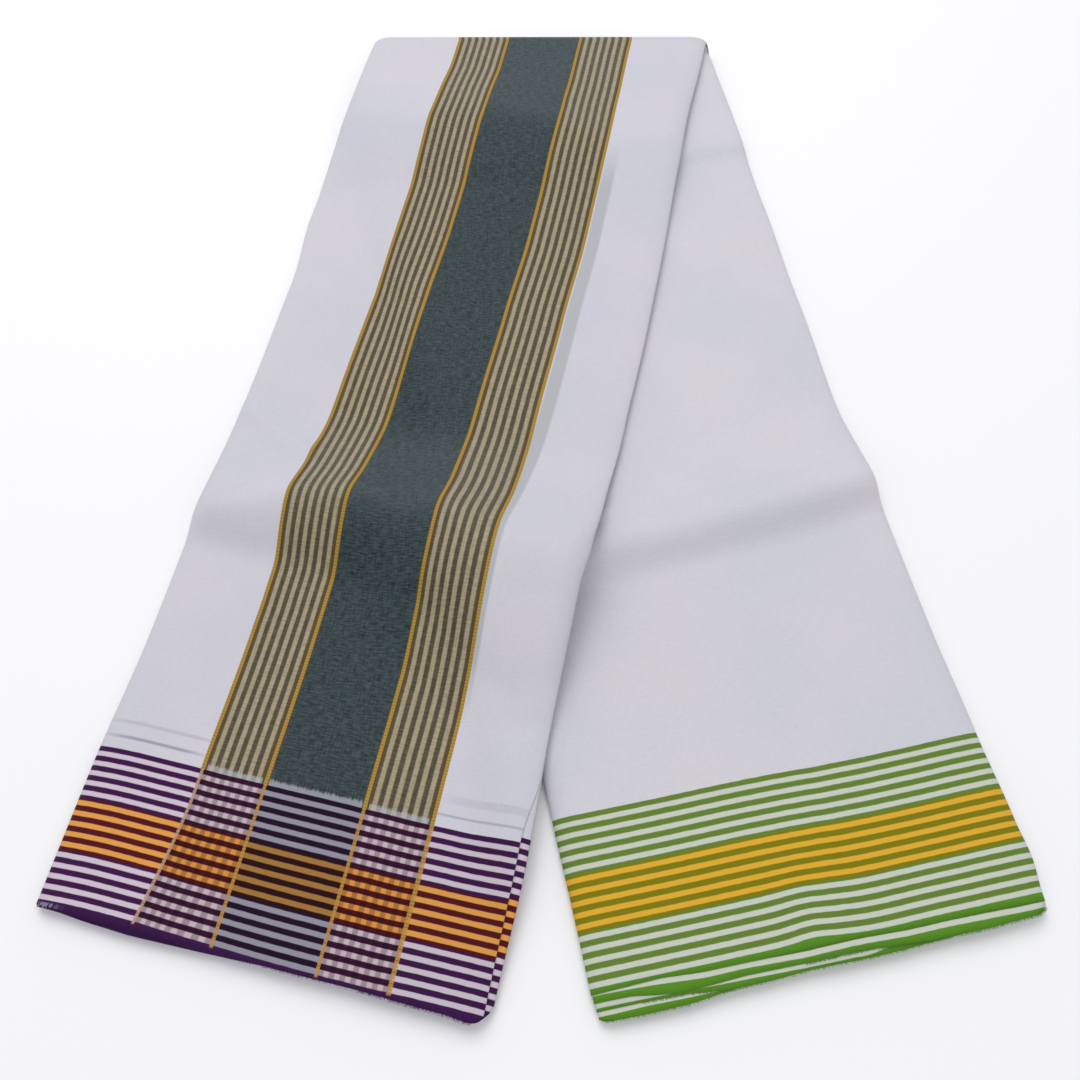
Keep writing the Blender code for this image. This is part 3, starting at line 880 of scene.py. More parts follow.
def stack_on_arm(side, station):
    """A section of the stack on an arm."""
    at_hem = ramp(station, HEM_START, STACK_FULL)
    inset = INNER_INSET + (SHOWN_AT_HEM[side] * LAYER - CLEARANCE) * at_hem
    side_inset = inset + SIDE_INSET * at_hem
    half = HALF - side_inset
    right = top_right_half(station) - side_inset if side == UPPER else half
    section = (half, mix(right, half, at_hem), SHOULDER - inset)
    runs = STACK_RUNS[side]
    tops, unders = [], []
    for u in columns(*section, STACK_COLUMN):
        tops.append(arm_place(side, u, station, runs, crown(u, *section), inset))
        below, weave = arm_place(side, u, station, runs, 0)
        floor_here = UNDERS[side](u, layer_s(side, u, station, runs)) + STACK_FLOOR[side]
        below.z = mix(below.z, floor_here, crown(u, *section[:2], CORNER))
        unders.append((below, weave))
    fold_edge = arm_place(side, -half, station, runs, 0)
    out = Vector((cos(SPLAY), side * sin(SPLAY), 0))
    outer_row, inner_row = (tops, unders) if side == UPPER else (unders, tops)
    return stack_section(outer_row, inner_row, fold_edge, out)


arm_rings = {side: [stack_on_arm(side, station) for station in STATIONS] for side in (UPPER, LOWER)}
print(len(arm_rings[UPPER][0]), "points go round a section")

# %% [markdown]
# In the turn the inner side of the stack runs close round the middle, in a tight nook.

# %% The stack in the turn, and the whole body
STACK_ANGLES = range(75, -76, -15)


def stack_in_turn(angle):
    """A section of the stack in the turn."""
    half = HALF - INNER_INSET
    share = (angle + 90) / 180
    nook = mix(SHEET + CLEARANCE + GAP / 2, GAP / 2, share)
    edge = turn_edge(angle)
    outer_row, inner_row = [], []
    for u in columns(half, half, STACK_SHOULDER, STACK_COLUMN):
        out_level = crown(u, half, half, mix(CORNER, STACK_SHOULDER, share))
        in_level = crown(u, half, half, mix(STACK_SHOULDER, CORNER, share))
        outer_row.append(turn_place(u, angle, mix(edge, TURN_RADIUS - INNER_INSET, out_level)))
        inner_row.append(turn_place(u, angle, mix(edge, nook, in_level)))
    fold_edge = turn_place(-half, angle, edge)
    return stack_section(outer_row, inner_row, fold_edge, Vector((1, 0, 0)))


rings = arm_rings[UPPER][::-1]
rings += [stack_in_turn(angle) for angle in STACK_ANGLES]
inner_layers = cloth("inner_layers", rings + arm_rings[LOWER], closed=True)
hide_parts("folded_layers")

# %% [markdown]
# ## Nodes and colours
#
# Dyed cotton yarn is matt, and its colours are given as sRGB hex values. Blender wants linear
# values, so one function turns one into the other. A second function adds a node:
# it sets what is given, links what is a socket, and passes by the sockets that the node's own
# settings have switched off. A third gives a material whose node tree is still empty.

# %% Colour and node helpers
def srgb(code):
    """A hex colour as linear RGBA."""
    values = [int(code[i:i + 2], 16) / 255 for i in (1, 3, 5)]
    linear = [v / 12.92 if v <= 0.04045 else ((v + 0.055) / 1.055) ** 2.4 for v in values]
    return (*linear, 1.0)


def node(tree, kind, inputs=(), output=0, **settings):
    """Adds a node. The inputs are in order, or by name; each is a value, a socket or None."""
    made = tree.nodes.new("ShaderNode" + kind)
    for name, value in settings.items():
        setattr(made, name, value)
    if isinstance(inputs, dict):
        pairs = [(made.inputs[name], value) for name, value in inputs.items()]
    else:
        pairs = zip([socket for socket in made.inputs if socket.enabled], inputs)
    for socket, value in pairs:
        if isinstance(value, bpy.types.NodeSocket):
            tree.links.new(value, socket)
        elif value is not None:
            socket.default_value = value
    outputs = [socket for socket in made.outputs if socket.enabled]
    return outputs[output] if outputs else None


def new_material(name):
    """A material without nodes, and its node tree."""
    material = bpy.data.materials.new(name)
    material.use_nodes = True
    material.node_tree.nodes.clear()
    return material, material.node_tree


# Settings that many nodes share
COLOUR = dict(data_type="RGBA")
STAIN = dict(data_type="RGBA", blend_type="MULTIPLY")
SOFT = dict(interpolation_type="SMOOTHSTEP")
TIMES = dict(operation="MULTIPLY")
TIMES_PLUS = dict(operation="MULTIPLY_ADD")
LARGER = dict(operation="MAXIMUM")
print("bluish white in linear values:", [round(v, 3) for v in srgb("#CCCCD4")[:3]])

# %% [markdown]
# ## The woven pattern
#
# Three things are woven into the cloth. Along each selvedge runs a border of sixteen stripes in
# the warp, purple at one side and green at the other, with a middle zone of orange or yellow
# between the stripes. Across the cloth runs a band in the weft: a chambray stripe between two
# panels of fine stripes, edged with gold thread. Where they cross, both yarns show.
#
# Each stripe is a place between two edges, so a pair of soft steps draws every one of them. The
# turns of a thread and the weave itself are waves.

# %% Stripes and waves
def between(tree, value, start, end, soft):
    """1 between start and end. Its edges reach as far as soft to either side."""
    rise = node(tree, "MapRange", (value, start - soft, start + soft, 0.0, 1.0), **SOFT)
    fall = node(tree, "MapRange", (value, end - soft, end + soft, 1.0, 0.0), **SOFT)
    return node(tree, "Math", (rise, fall), **TIMES)


def ripple(tree, value, length):
    """A wave between -1 and 1 that repeats after a length."""
    turns = node(tree, "Math", (value, 2 * pi / length), **TIMES)
    return node(tree, "Math", (turns,), operation="SINE")


print("a stripe of the purple border is", PURPLE["pitch"], "mm with its gap")

# %% [markdown]
# A border counts its stripes from its inner edge. The fraction of the count says whether a
# place is on dark or light yarn, and the whole of it picks the zone. The last dark stripe is
# the selvedge, and runs on to the hem. Where the cross band's weft crosses the border, both
# yarns show, so the light and the dark stripes each take a tint from it.

# %% The two borders
PURPLE_YARN = dict(
    lie=PURPLE, dark="#390E42", warm_dark="#500916", light="#CBBDC9", warm="#DD9A4B",
    selvedge="#391048",
)
GREEN_YARN = dict(
    lie=GREEN, dark="#637E31", warm_dark="#7B770A", light="#C4CABB", warm="#DBA932",
    selvedge="#568A20",
)
# Light yarn's share of a stripe and its gap, and the stripes between which the yarn is warm
LIGHT_SHARE = (0.50, 0.97)
WARM_COUNTS = (5.3, 10.3)


def border(tree, along_mm, yarn, tints=None):
    """Returns the border's colour, and where it is."""
    pitch, first = yarn["lie"]["pitch"], yarn["lie"]["first"]
    count = node(tree, "Math", (along_mm, 1 / pitch, -first / pitch), **TIMES_PLUS)
    inside = node(tree, "MapRange", (count, -0.04, 0.04, 0.0, 1.0), **SOFT)
    stripes = node(tree, "Math", (count,), operation="FRACT")
    stripes = between(tree, stripes, *LIGHT_SHARE, 0.045)
    ends = (SELVEDGE - 0.04, SELVEDGE + 0.02)
    selvedge = node(tree, "MapRange", (count, *ends, 0.0, 1.0), **SOFT)
    warm = between(tree, count, *WARM_COUNTS, 0.02)
    light = node(tree, "Mix", (warm, srgb(yarn["light"]), srgb(yarn["warm"])), **COLOUR)
    dark = node(tree, "Mix", (warm, srgb(yarn["dark"]), srgb(yarn["warm_dark"])), **COLOUR)
    if tints:
        light = node(tree, "Mix", (1.0, light, tints[0]), **STAIN)
        dark = node(tree, "Mix", (1.0, dark, tints[1]), **STAIN)
    color = node(tree, "Mix", (stripes, dark, light), **COLOUR)
    color = node(tree, "Mix", (selvedge, color, srgb(yarn["selvedge"])), **COLOUR)
    return color, inside


print("warm yarn from stripe", WARM_COUNTS[0], "to", WARM_COUNTS[1])

# %% [markdown]
# The weft of the band tints a border's own yarns. Light yarn takes up much of the weft's
# colour, and dark yarn gets darker still. A tint is what a border's colour is multiplied by.

# %% Tints where the band crosses a border
BAND_LINES = (-56.4, -22.8, 29.1, 64.3)
PANELS = (BAND_LINES[0:2], BAND_LINES[2:4])
WHOLE_BAND = (BAND_LINES[0], BAND_LINES[3])
BEYOND_BAND = (64.0, 66.0)
NO_TINT = (1.0, 1.0, 1.0, 1.0)
# Painted shade: to the right of the band, the border is drawn a little darker and duller.
SHADE_TINT = (0.90, 0.93, 0.91, 1.0)
LIGHT_TINTS = dict(
    chambray=(0.46, 0.51, 0.54, 1.0), slate=(0.51, 0.45, 0.46, 1.0), cream=(0.88, 0.82, 0.77, 1.0),
)
DARK_TINTS = dict(
    chambray=(0.24, 0.20, 0.28, 1.0), slate=(0.52, 0.20, 0.27, 1.0), cream=(0.76, 0.48, 0.45, 1.0),
)


def crossing_tint(tree, beyond, middle, panels, tints):
    """How the weft of the band tints the yarn of a border, with painted shade past the band."""
    tint = node(tree, "Mix", (beyond, NO_TINT, SHADE_TINT), **COLOUR)
    tint = node(tree, "Mix", (middle, tint, tints["chambray"]), **COLOUR)
    for panel, stripes in panels:
        woven = node(tree, "Mix", (stripes, tints["slate"], tints["cream"]), **COLOUR)
        tint = node(tree, "Mix", (panel, tint, woven), **COLOUR)
    return tint


print("the band is", round(WHOLE_BAND[1] - WHOLE_BAND[0], 1), "mm wide between its outer lines")

# %% [markdown]
# The band's panels each have six cream stripes on slate. Their yarns and the chambray's are
# slubby: a little thicker here and there, which shows as short streaks both ways. Over the
# crests of the two folds the band is painted a little paler: a painted sheen.

# %% The band across the cloth
PANEL_INSET = 1.85
PANEL_STRIPES = 6
CREAM_SHARE = (0.26, 0.74)
PAINTED_SHEEN_FOLDS = ((-15.0, 92.0), (350.0, 412.0))
PAINTED_SHEEN_SHARE = 0.08
PAINTED_SHEEN_SOFT = 16.0


def band(tree, across_mm, along_mm, slubs, plain):
    """Returns the band's colour over the plain cloth, and its tints for light and dark yarn."""
    chambray = node(tree, "Mix", (slubs, srgb("#1E282B"), srgb("#404F52")), **COLOUR)
    slate = node(tree, "Mix", (slubs, srgb("#413B2D"), srgb("#5A523E")), **COLOUR)
    cream = node(tree, "Mix", (slubs, srgb("#92866C"), srgb("#AA9D81")), **COLOUR)
    middle = between(tree, across_mm, BAND_LINES[1], BAND_LINES[2], 0.15)
    color = node(tree, "Mix", (middle, plain, chambray), **COLOUR)
    panels = []
    for left, right in PANELS:
        start, end = left + PANEL_INSET, right - PANEL_INSET
        repeats = (across_mm, start, end, 0.0, float(PANEL_STRIPES))
        stripes = node(tree, "MapRange", repeats, clamp=False)
        stripes = node(tree, "Math", (stripes,), operation="FRACT")
        stripes = between(tree, stripes, *CREAM_SHARE, 0.08)
        inside = between(tree, across_mm, start, end, 0.1)
        stripes = node(tree, "Math", (stripes, inside), **TIMES)
        panel = between(tree, across_mm, left, right, 0.12)
        woven = node(tree, "Mix", (stripes, slate, cream), **COLOUR)
        color = node(tree, "Mix", (panel, color, woven), **COLOUR)
        panels.append((panel, stripes))
    on_band = between(tree, across_mm, *WHOLE_BAND, 0.15)
    # Painted sheen: over the crests of the folds the band is mixed a little towards pale grey.
    for start, end in PAINTED_SHEEN_FOLDS:
        painted_sheen = between(tree, along_mm, start, end, PAINTED_SHEEN_SOFT)
        painted_sheen = node(tree, "Math", (painted_sheen, on_band), **TIMES)
        painted_sheen = node(tree, "Math", (painted_sheen, PAINTED_SHEEN_SHARE), **TIMES)
        color = node(tree, "Mix", (painted_sheen, color, srgb("#8F989B")), **COLOUR)
    beyond = node(tree, "MapRange", (across_mm, *BEYOND_BAND, 0.0, 1.0), **SOFT)
    masks = (beyond, middle, panels)
    return color, [crossing_tint(tree, *masks, tints) for tints in (LIGHT_TINTS, DARK_TINTS)]


print("the chambray stripe is", round(BAND_LINES[2] - BAND_LINES[1], 1), "mm wide")

# %% [markdown]
# The gold lines are flat metallised thread, drawn last, with brown yarns beside them. The
# thread is wound round a core, so light and dark turns follow each other along it. Outside the
# borders it is a solid line. Inside them the border's own warp goes over and under it, which
# breaks it up into beads of a redder gold, or of tan on the first line.

# %% Gold and brown lines
# Half widths of the gold lines outside the borders, and of each one inside them
LINE_HALF = 1.0
BORDER_HALVES = (0.80, 0.80, 0.85, 1.10)
BEAD_MM = 1.7
BEAD_SHOWN = (0.60, 0.92)
GOLD_STOPS = PURPLE["first"] + 15.2 * PURPLE["pitch"]
# Where brown yarns lie beside each gold line
BROWN_OFFSETS = ((1.6,), (-1.6, 1.0), (-1.0, 1.6), (-1.6,))
BROWN_HALF = 0.5


def metal_lines(tree, across_mm, along_mm, inside):
    """Returns where gold thread and brown yarn show, and the turns along the gold."""
    turns = ripple(tree, along_mm, BEAD_MM)
    beads = node(tree, "MapRange", (turns, -0.8, 0.2, *BEAD_SHOWN), **SOFT)
    shown = node(tree, "Mix", (inside, 1.0, beads))
    ends = (GOLD_STOPS - 0.4, GOLD_STOPS + 0.4)
    stopped = node(tree, "MapRange", (along_mm, *ends, 1.0, 0.0), **SOFT)
    gold, brown = 0.0, 0.0
    for line, offsets, half in zip(BAND_LINES, BROWN_OFFSETS, BORDER_HALVES):
        line_half = node(tree, "MapRange", (inside, 0.0, 1.0, LINE_HALF, half))
        off = node(tree, "Math", (across_mm, line), operation="SUBTRACT")
        off = node(tree, "Math", (off,), operation="ABSOLUTE")
        off = node(tree, "Math", (off, line_half), operation="SUBTRACT")
        here = node(tree, "MapRange", (off, -0.12, 0.12, 1.0, 0.0), **SOFT)
        gold = node(tree, "Math", (gold, here), **LARGER)
        for offset in offsets:
            edges = (line + offset - BROWN_HALF, line + offset + BROWN_HALF)
            beside = between(tree, across_mm, *edges, 0.12)
            brown = node(tree, "Math", (brown, beside), **LARGER)
    for limit in (shown, stopped):
        gold = node(tree, "Math", (gold, limit), **TIMES)
    outside = node(tree, "Math", (1.0, inside), operation="SUBTRACT")
    return gold, node(tree, "Math", (brown, outside), **TIMES), turns


print("gold stops at s =", round(GOLD_STOPS, 1), "mm, just past the selvedge's inner edge")

# %% [markdown]
# The bleached ground is fine enough to see through a little. Borders and gold lines of the
# layers below show as faint grey lines and as one long darker strip.

# %% What shows through the top layer: from, to, centre across, reach, strength
THROUGH_LINES = (
    (547.6, 549.4, -80.0, 30.0, 0.30),
    (555.6, 557.2, -84.0, 22.0, 0.75),
    (546.6, 550.8, 92.0, 22.0, 0.20),
    (556.2, 557.4, 88.0, 28.0, 0.55),
)
# The strip: its place across, its place along, how it narrows, and where gold cuts it off
THROUGH_STRIP = (66.0, 73.5)
STRIP_ALONG = (122.0, 495.0)
STRIP_NARROWS = (305.0, 430.0, 0.0, 5.5)
STRIP_LIMIT = (64.5, 65.5)


def shown_through(tree, across_mm, along_mm, plain):
    """The plain ground, darker over the lines and the strip of the layers below."""
    for start, end, centre, reach, strength in THROUGH_LINES:
        line = between(tree, along_mm, start, end, 0.5)
        near = between(tree, across_mm, centre - reach, centre + reach, reach * 0.5)
        here = node(tree, "Math", (line, near), **TIMES)
        here = node(tree, "Math", (here, strength), **TIMES)
        plain = node(tree, "Mix", (here, plain, srgb("#8A869B")), **COLOUR)
    narrowing = node(tree, "MapRange", (along_mm, *STRIP_NARROWS), **SOFT)
    widened = node(tree, "Math", (across_mm, narrowing), operation="ADD")
    strip = between(tree, widened, *THROUGH_STRIP, 0.8)
    right_of_gold = node(tree, "MapRange", (across_mm, *STRIP_LIMIT, 0.0, 1.0), **SOFT)
    lengthwise = between(tree, along_mm, *STRIP_ALONG, 22.0)
    for limit in (right_of_gold, lengthwise):
        strip = node(tree, "Math", (strip, limit), **TIMES)
    return node(tree, "Mix", (strip, plain, srgb("#B0B2B6")), **COLOUR)


print(len(THROUGH_LINES), "lines and a strip show through")

# %% [markdown]
# ## Bleached cotton with woven borders
#
# The ground is mill-bleached plain-weave cotton, calendered smooth: matt, slightly blue-white,
# with a soft sheen at grazing angles. Its yarns are uneven, so noise is drawn out along the warp
# and along the weft, and two near whites lie over it in soft clouds. The numbers of a noise are
# its scale, for a place in millimetres, and its detail.

# %% Slubs and ground
def slubby(tree, place):
    """Returns noise along the warp, noise along the weft, and the slubs that both make."""
    stretched = node(tree, "VectorMath", (place, (1.0, 0.12, 1.0)), **TIMES)
    warp_noise = node(tree, "TexNoise", (stretched, 1.2, 3.0))
    stretched = node(tree, "VectorMath", (place, (0.16, 1.0, 1.0)), **TIMES)
    weft_noise = node(tree, "TexNoise", (stretched, 1.3, 3.0))
    slubs = node(tree, "Math", (warp_noise, 0.6, weft_noise), **TIMES_PLUS)
    slubs = node(tree, "MapRange", (slubs, 0.555, 1.045, 0.0, 1.0), **SOFT)
    return warp_noise, weft_noise, slubs


def bleached_ground(tree, place, slubs, bluish, pinkish):
    """The plain ground: two near whites in clouds, and a little darker between the slubs."""
    clouds = node(tree, "TexNoise", (place, 0.012, 2.0))
    clouds = node(tree, "MapRange", (clouds, 0.35, 0.65, 0.0, 1.0), **SOFT)
    color = node(tree, "Mix", (clouds, srgb(bluish), srgb(pinkish)), **COLOUR)
    faint = node(tree, "MapRange", (slubs, 0.0, 1.0, 0.955, 1.0))
    return node(tree, "Mix", (1.0, color, faint), **STAIN)


WHITES = ("#CCCCD4", "#D1CED4")
BANDED_WHITES = ("#C9C9D2", "#CECBD2")
print("the ground goes from", *WHITES)

# %% [markdown]
# Where the band's weft meets a border it stops in a pale, frayed line. At the left end of a
# selvedge the dyed yarn has worn off in streaks. Both are masks with noise in them.

# %% Fraying and wear
# How far before a border the fraying starts and is full, and how much it covers
FRAY_START, FRAY_FULL, FRAY_SHARE = 3.6, 2.0, 0.55
WORN_PLACE = (-113.0, -94.0)
WORN_STARTS = SELVEDGE + 0.1
WORN_SHARE = 0.7


def frayed_line(tree, color, across, outwards, warp_noise, first):
    """The colour with a frayed line over it, where the band ends at a border."""
    fringe = node(tree, "Math", (warp_noise, 3.0, -1.5), **TIMES_PLUS)
    fringe = node(tree, "Math", (outwards, fringe), operation="ADD")
    ends = (first - FRAY_START, first - FRAY_FULL)
    frayed = node(tree, "MapRange", (fringe, *ends, 0.0, FRAY_SHARE), **SOFT)
    on_band = between(tree, across, *WHOLE_BAND, 0.3)
    frayed = node(tree, "Math", (frayed, on_band), **TIMES)
    return node(tree, "Mix", (frayed, color, srgb("#B4B6BE")), **COLOUR)


def worn_selvedge(tree, color, across, outwards, warp_noise, lie):
    """The colour with pale streaks over it, at the left end of a selvedge."""
    worn = between(tree, across, *WORN_PLACE, 5.0)
    streaks = node(tree, "MapRange", (warp_noise, 0.45, 0.60, 0.0, WORN_SHARE), **SOFT)
    hem = lie["first"] + WORN_STARTS * lie["pitch"]
    at_hem = node(tree, "MapRange", (outwards, hem, hem + 1.0, 0.0, 1.0), **SOFT)
    for limit in (streaks, at_hem):
        worn = node(tree, "Math", (worn, limit), **TIMES)
    return node(tree, "Mix", (worn, color, srgb("#A9A2B6")), **COLOUR)


print("wear shows on the last", round(WORN_PLACE[1] - WORN_PLACE[0]), "mm of a selvedge")

# %% [markdown]
# A real thread is a third of a millimetre wide, which is too fine to show, so the weave is
# drawn at 0.9 mm and kept faint. Gold thread stands up a little from it. On the hidden layers,
# the edges of single layers are drawn as lines at their real spacing in height, on the steep
# sides only, with painted shade in the gaps between them.

# %% Relief of the weave, gold thread and the layers' edges
WEAVE_MM = 0.9
# Roughness of the plain cotton and of the band
MATT, SMOOTHER = 0.86, 0.58
FIRST_LINE_ENDS = (-50.0, -49.0)
# A face is no longer steep as the upright part of its normal goes from the first to the second.
STEEP = (0.75, 0.90)


def weave_relief(tree, place, across, along, slubs):
    """Height of the plain weave, with its fuzz and its slubs."""
    warp, weft = ripple(tree, across, WEAVE_MM), ripple(tree, along, WEAVE_MM)
    relief = node(tree, "Math", (warp, weft), **TIMES)
    fuzz = node(tree, "TexNoise", (place, 1.1, 3.0))
    relief = node(tree, "Math", (relief, 0.25, fuzz), **TIMES_PLUS)
    return node(tree, "Math", (slubs, 0.5, relief), **TIMES_PLUS)


def add_thread(tree, color, relief, across, along, in_border):
    """Adds gold and brown thread. Returns the colour, the relief and the roughness."""
    gold, brown, turns = metal_lines(tree, across, along, in_border)
    thread = node(tree, "MapRange", (turns, -1.0, 1.0, 0.0, 1.0))
    thread = node(tree, "Mix", (thread, srgb("#96772E"), srgb("#AA893D")), **COLOUR)
    first_line = node(tree, "MapRange", (across, *FIRST_LINE_ENDS, 1.0, 0.0))
    crossed = node(tree, "Mix", (first_line, srgb("#B5883F"), srgb("#B59476")), **COLOUR)
    thread = node(tree, "Mix", (in_border, thread, crossed), **COLOUR)
    color = node(tree, "Mix", (brown, color, srgb("#57431F")), **COLOUR)
    color = node(tree, "Mix", (gold, color, thread), **COLOUR)
    relief = node(tree, "Math", (gold, 1.2, relief), **TIMES_PLUS)
    smoother = between(tree, across, *WHOLE_BAND, 0.3)
    smoother = node(tree, "Mix", (in_border, smoother, 0.0))
    return color, relief, node(tree, "MapRange", (smoother, 0.0, 1.0, MATT, SMOOTHER))


def layer_faces(tree):
    """1 on a layer and 0 between two layers, on steep sides only."""
    height = node(tree, "TexCoord", output=3)
    height = node(tree, "SeparateXYZ", (height,), output=2)
    height = node(tree, "Math", (height, 1 / LAYER), **TIMES)
    faces = node(tree, "Math", (height,), operation="FRACT")
    faces = between(tree, faces, 0.2, 0.8, 0.2)
    slope = node(tree, "NewGeometry", output=1)
    slope = node(tree, "SeparateXYZ", (slope,), output=2)
    slope = node(tree, "Math", (slope,), operation="ABSOLUTE")
    level = node(tree, "MapRange", (slope, *STEEP, 0.0, 1.0), **SOFT)
    return node(tree, "Math", (faces, level), **LARGER)


print("the weave is drawn every", WEAVE_MM, "mm")

# %% [markdown]
# All of this comes together in one function. It makes three materials, because only the
# outermost sheet has the band, and only the hidden layers show their edges.

# %% Cotton material
def woven_cotton(name, banded=False, layered=False):
    """The cotton of a sheet, with the band across it or the edges of layers on its sides."""
    material, tree = new_material(name)
    place = node(tree, "UVMap", uv_map="weave")
    place = node(tree, "VectorMath", (place, (1000.0, 1000.0, 0.0)), **TIMES)
    across = node(tree, "SeparateXYZ", (place,))
    along = node(tree, "SeparateXYZ", (place,), output=1)
    warp_noise, weft_noise, slubs = slubby(tree, place)
    unevenness = node(tree, "Math", (weft_noise, 0.5, -0.25), **TIMES_PLUS)
    ragged = node(tree, "Math", (along, unevenness), operation="ADD")

    color = bleached_ground(tree, place, slubs, *(BANDED_WHITES if banded else WHITES))
    tints = None
    if banded:
        color = shown_through(tree, across, along, color)
        color, tints = band(tree, across, along, slubs, color)

    in_border = 0.0
    for sign, yarn in ((-1.0, GREEN_YARN), (1.0, PURPLE_YARN)):
        lie = yarn["lie"]
        outwards = node(tree, "Math", (ragged, sign), **TIMES)
        stripes, inside = border(tree, outwards, yarn, tints)
        if banded:
            color = frayed_line(tree, color, across, outwards, warp_noise, lie["first"])
        color = node(tree, "Mix", (inside, color, stripes), **COLOUR)
        if banded:
            color = worn_selvedge(tree, color, across, outwards, warp_noise, lie)
        in_border = node(tree, "Math", (in_border, inside), **LARGER)

    relief, roughness = weave_relief(tree, place, across, along, slubs), MATT
    if banded:
        color, relief, roughness = add_thread(tree, color, relief, across, along, in_border)
    if layered:
        faces = layer_faces(tree)
        # Painted shade: on steep sides the gaps between layers are drawn darker.
        shade = node(tree, "MapRange", (faces, 0.0, 1.0, 0.55, 1.0))
        color = node(tree, "Mix", (1.0, color, shade), **STAIN)
        relief = node(tree, "Math", (faces, 1.0, relief), **TIMES_PLUS)

    bump = node(tree, "Bump", {"Strength": 0.35, "Distance": 0.00025, "Height": relief})
    surface = node(tree, "BsdfPrincipled", {
        "Base Color": color, "Roughness": roughness, "IOR": 1.53, "Specular IOR Level": 0.15,
        "Sheen Weight": 0.05, "Sheen Roughness": 0.5, "Normal": bump,
    })
    node(tree, "OutputMaterial", {"Surface": surface})
    print(f"{name}: {len(tree.nodes)} nodes")
    return material


banded_cotton = woven_cotton("bleached cotton with cross band", banded=True)
bordered_cotton = woven_cotton("bleached cotton with borders")
layered_cotton = woven_cotton("stacked edges of bleached cotton", layered=True)

# %% [markdown]
# Each sheet gets its cotton.

# %% Dress the sheets
outer.data.materials.append(banded_cotton)
inner_layers.data.materials.append(layered_cotton)
for piece in [lower, *hem_pieces.values()]:
    piece.data.materials.append(bordered_cotton)
print(3 + len(hem_pieces), "pieces are dressed")

# %% [markdown]
# ## Loose yarn at the hems
#
# A selvedge sheds a fuzz of fine yarn ends. Each yarn is a tapered thread of three sides. All
# of them are made as splines of one curve with a bevel, which is the quickest way to many thin
# threads, and the curve then becomes a mesh. The numbers come from a seeded generator, so each
# run is the same.

# %% Loose yarns: name, arm, runs, layers down, from u, to u, how many, longest, colour
LOOSE_YARNS = (
    ("purple fuzz", UPPER, PURPLE_TOP_RUNS, 0, -0.040, 0.104, 500, 0.0014, "#3F1550"),
    ("purple corner fuzz", UPPER, PURPLE_TOP_RUNS, 0, 0.050, 0.104, 260, 0.0021, "#4F2262"),
    ("white corner fuzz", UPPER, HEM_LAYERS[0][4], 1, -0.112, -0.100, 16, 0.0030, "#C4C2CC"),
    ("green fuzz", LOWER, HEM_LAYERS[2][4], 1, -0.010, 0.110, 900, 0.0019, "#55882A"),
    ("olive fuzz", LOWER, HEM_LAYERS[3][4], 2, -0.090, 0.060, 700, 0.0016, "#6A8C38"),
    ("low green fuzz", LOWER, HEM_LAYERS[4][4], 3, -0.110, -0.020, 500, 0.0016, "#55882A"),
)
YARN_RADIUS = 0.00006
YARN_POINTS = 4
TAPER = (1.2, 0.4)
# The share of the longest yarn that a yarn can be, how it leans and lifts, the share of it that
# is rooted in the cloth, and how deep it starts, in layers
LENGTH_SHARES = (0.35, 1.0)
LEAN, LIFT = (-0.9, 0.9), (-0.4, 0.3)
ROOTED_SHARE = 0.3
SINK_LAYERS = 0.4
dice = Random(7)


def add_yarn(threads, side, runs, down, start, end, longest):
    """One loose yarn: it leaves its layer's edge, leans, and lifts or sinks a little."""
    outwards = Vector((side * sin(SPLAY), -cos(SPLAY), 0))
    u = mix(start, end, dice.random())
    length = longest * mix(*LENGTH_SHARES, dice.random())
    lean, lift = dice.uniform(*LEAN), dice.uniform(*LIFT)
    spline = threads.splines.new("POLY")
    spline.points.add(YARN_POINTS - 1)
    for i, point in enumerate(spline.points):
        share = i / (YARN_POINTS - 1)
        bent = length * share ** 2
        depth = (down + SINK_LAYERS) * LAYER
        root = arm_place(side, u + lean * bent, ARM, runs, 1, depth)[0] + TURN_MIDDLE
        place = root + outwards * (share - ROOTED_SHARE) * length + Vector((0, 0, lift * bent))
        point.co = (*place, 1.0)
        point.radius = mix(*TAPER, share)


print(sum(group[6] for group in LOOSE_YARNS), "loose yarns to make")

# %% [markdown]
# The yarn is twisted cotton, matt, with darker places where the twist turns under.

# %% Yarn material and the yarns themselves
def spun_yarn(name, color):
    """Twisted cotton yarn of one colour."""
    material, tree = new_material(name)
    place = node(tree, "TexCoord", output=3)
    twist = node(tree, "TexNoise", (place, 1200.0, 2.0))
    twist = node(tree, "MapRange", (twist, 0.3, 0.7, 0.75, 1.1))
    shaded = node(tree, "Mix", (1.0, srgb(color), twist), **STAIN)
    bump = node(tree, "Bump", {"Strength": 0.3, "Distance": 0.0001, "Height": twist})
    surface = node(tree, "BsdfPrincipled", {
        "Base Color": shaded, "Roughness": 0.9, "IOR": 1.53, "Sheen Weight": 0.1, "Normal": bump,
    })
    node(tree, "OutputMaterial", {"Surface": surface})
    return material


faces_made = 0
for name, side, runs, down, start, end, count, longest, color in LOOSE_YARNS:
    threads = bpy.data.curves.new(name, "CURVE")
    threads.dimensions = "3D"
    threads.bevel_depth = YARN_RADIUS
    threads.bevel_resolution = 0
    for _ in range(count):
        add_yarn(threads, side, runs, down, start, end, longest)
    spool = bpy.data.objects.new(name + " spool", threads)
    mesh = bpy.data.meshes.new_from_object(spool)
    piece = bpy.data.objects.new(name.replace(" ", "_"), mesh)
    bpy.context.scene.collection.objects.link(piece)
    mesh.materials.clear()
    mesh.materials.append(spun_yarn("spun yarn, " + name, color))
    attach(piece, "root")
    bpy.data.objects.remove(spool)
    faces_made += len(mesh.polygons)
print(faces_made, "faces of loose yarn")

# %% [markdown]
# ## Floor, light and camera
#
# The cloth lies on a plain pale floor, painted matt so that it mirrors nothing.

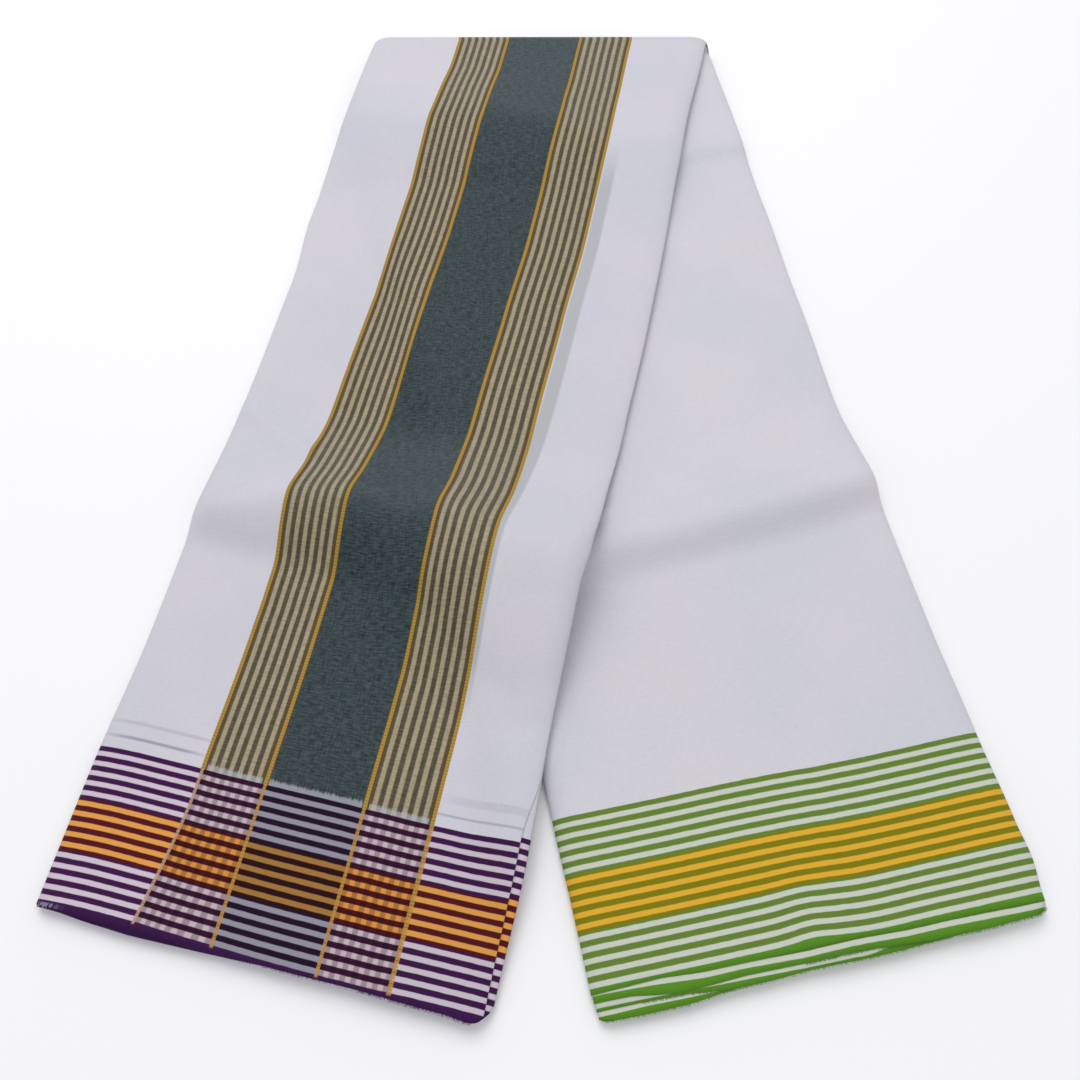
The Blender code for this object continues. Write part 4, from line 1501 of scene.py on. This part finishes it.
# %% Floor
FLOOR_SIZE = 8
FLOOR_HEIGHT = -0.0005
bpy.ops.mesh.primitive_plane_add(size=FLOOR_SIZE, location=(0, 0, FLOOR_HEIGHT))
floor = bpy.context.object
floor.name = "studio_floor"
floor_paint = bpy.data.materials.new("matt white floor")
floor_paint.use_nodes = True
floor_shader = floor_paint.node_tree.nodes["Principled BSDF"]
floor_shader.inputs["Base Color"].default_value = srgb("#F6F6F7")
floor_shader.inputs["Roughness"].default_value = 0.9
floor.data.materials.append(floor_paint)
print("floor", FLOOR_SIZE, "m wide")

# %% [markdown]
# One large soft light stands above and behind the cloth and a weaker one in front, both aimed
# at it. A pale world fills the shadows.

# %% Lights: name, place, size, power
LIGHTS = (
    ("overhead softbox", (-0.3, 0.9, 1.75), 1.5, 20.0),
    ("front fill", (0.5, -1.6, 1.3), 1.4, 4.0),
)
for name, place, size, power in LIGHTS:
    lamp = bpy.data.lights.new(name, "AREA")
    lamp.shape = "SQUARE"
    lamp.size = size
    lamp.energy = power
    holder = bpy.data.objects.new(name, lamp)
    bpy.context.scene.collection.objects.link(holder)
    holder.location = place
    holder.rotation_euler = (-Vector(place)).to_track_quat("-Z", "Y").to_euler()

world = bpy.data.worlds.new("pale studio")
bpy.context.scene.world = world
world.use_nodes = True
world.node_tree.nodes["Background"].inputs["Color"].default_value = srgb("#F6F6FA")
world.node_tree.nodes["Background"].inputs["Strength"].default_value = 0.68
bpy.context.scene.view_settings.view_transform = "Standard"
print(len(LIGHTS), "lights and a pale world")

# %% [markdown]
# The camera looks down from the hems. Its lens is given as a focal length in pixels of a
# picture 1080 pixels wide, and its place from the middle of the turn.

# %% Camera
SENSOR_MM = 36
FOCAL_PIXELS, PICTURE_PIXELS = 1070, 1080
LOOKING_DOWN, ROLL = 1.1008, -0.0019
view = bpy.data.cameras.new("camera over the hems")
view.sensor_width = SENSOR_MM
view.lens = SENSOR_MM * FOCAL_PIXELS / PICTURE_PIXELS
camera = bpy.data.objects.new("camera over the hems", view)
bpy.context.scene.collection.objects.link(camera)
camera.location = TURN_MIDDLE + Vector((-0.0008, -0.6809, 0.5428))
camera.rotation_euler = (pi / 2 - LOOKING_DOWN, 0, ROLL)
bpy.context.scene.camera = camera
print("camera", [round(v, 3) for v in camera.location])

# %% [markdown]
# ## The pieces of cloth
#
# The pieces of cloth are counted.

print(3 + len(hem_pieces), "pieces are declared")
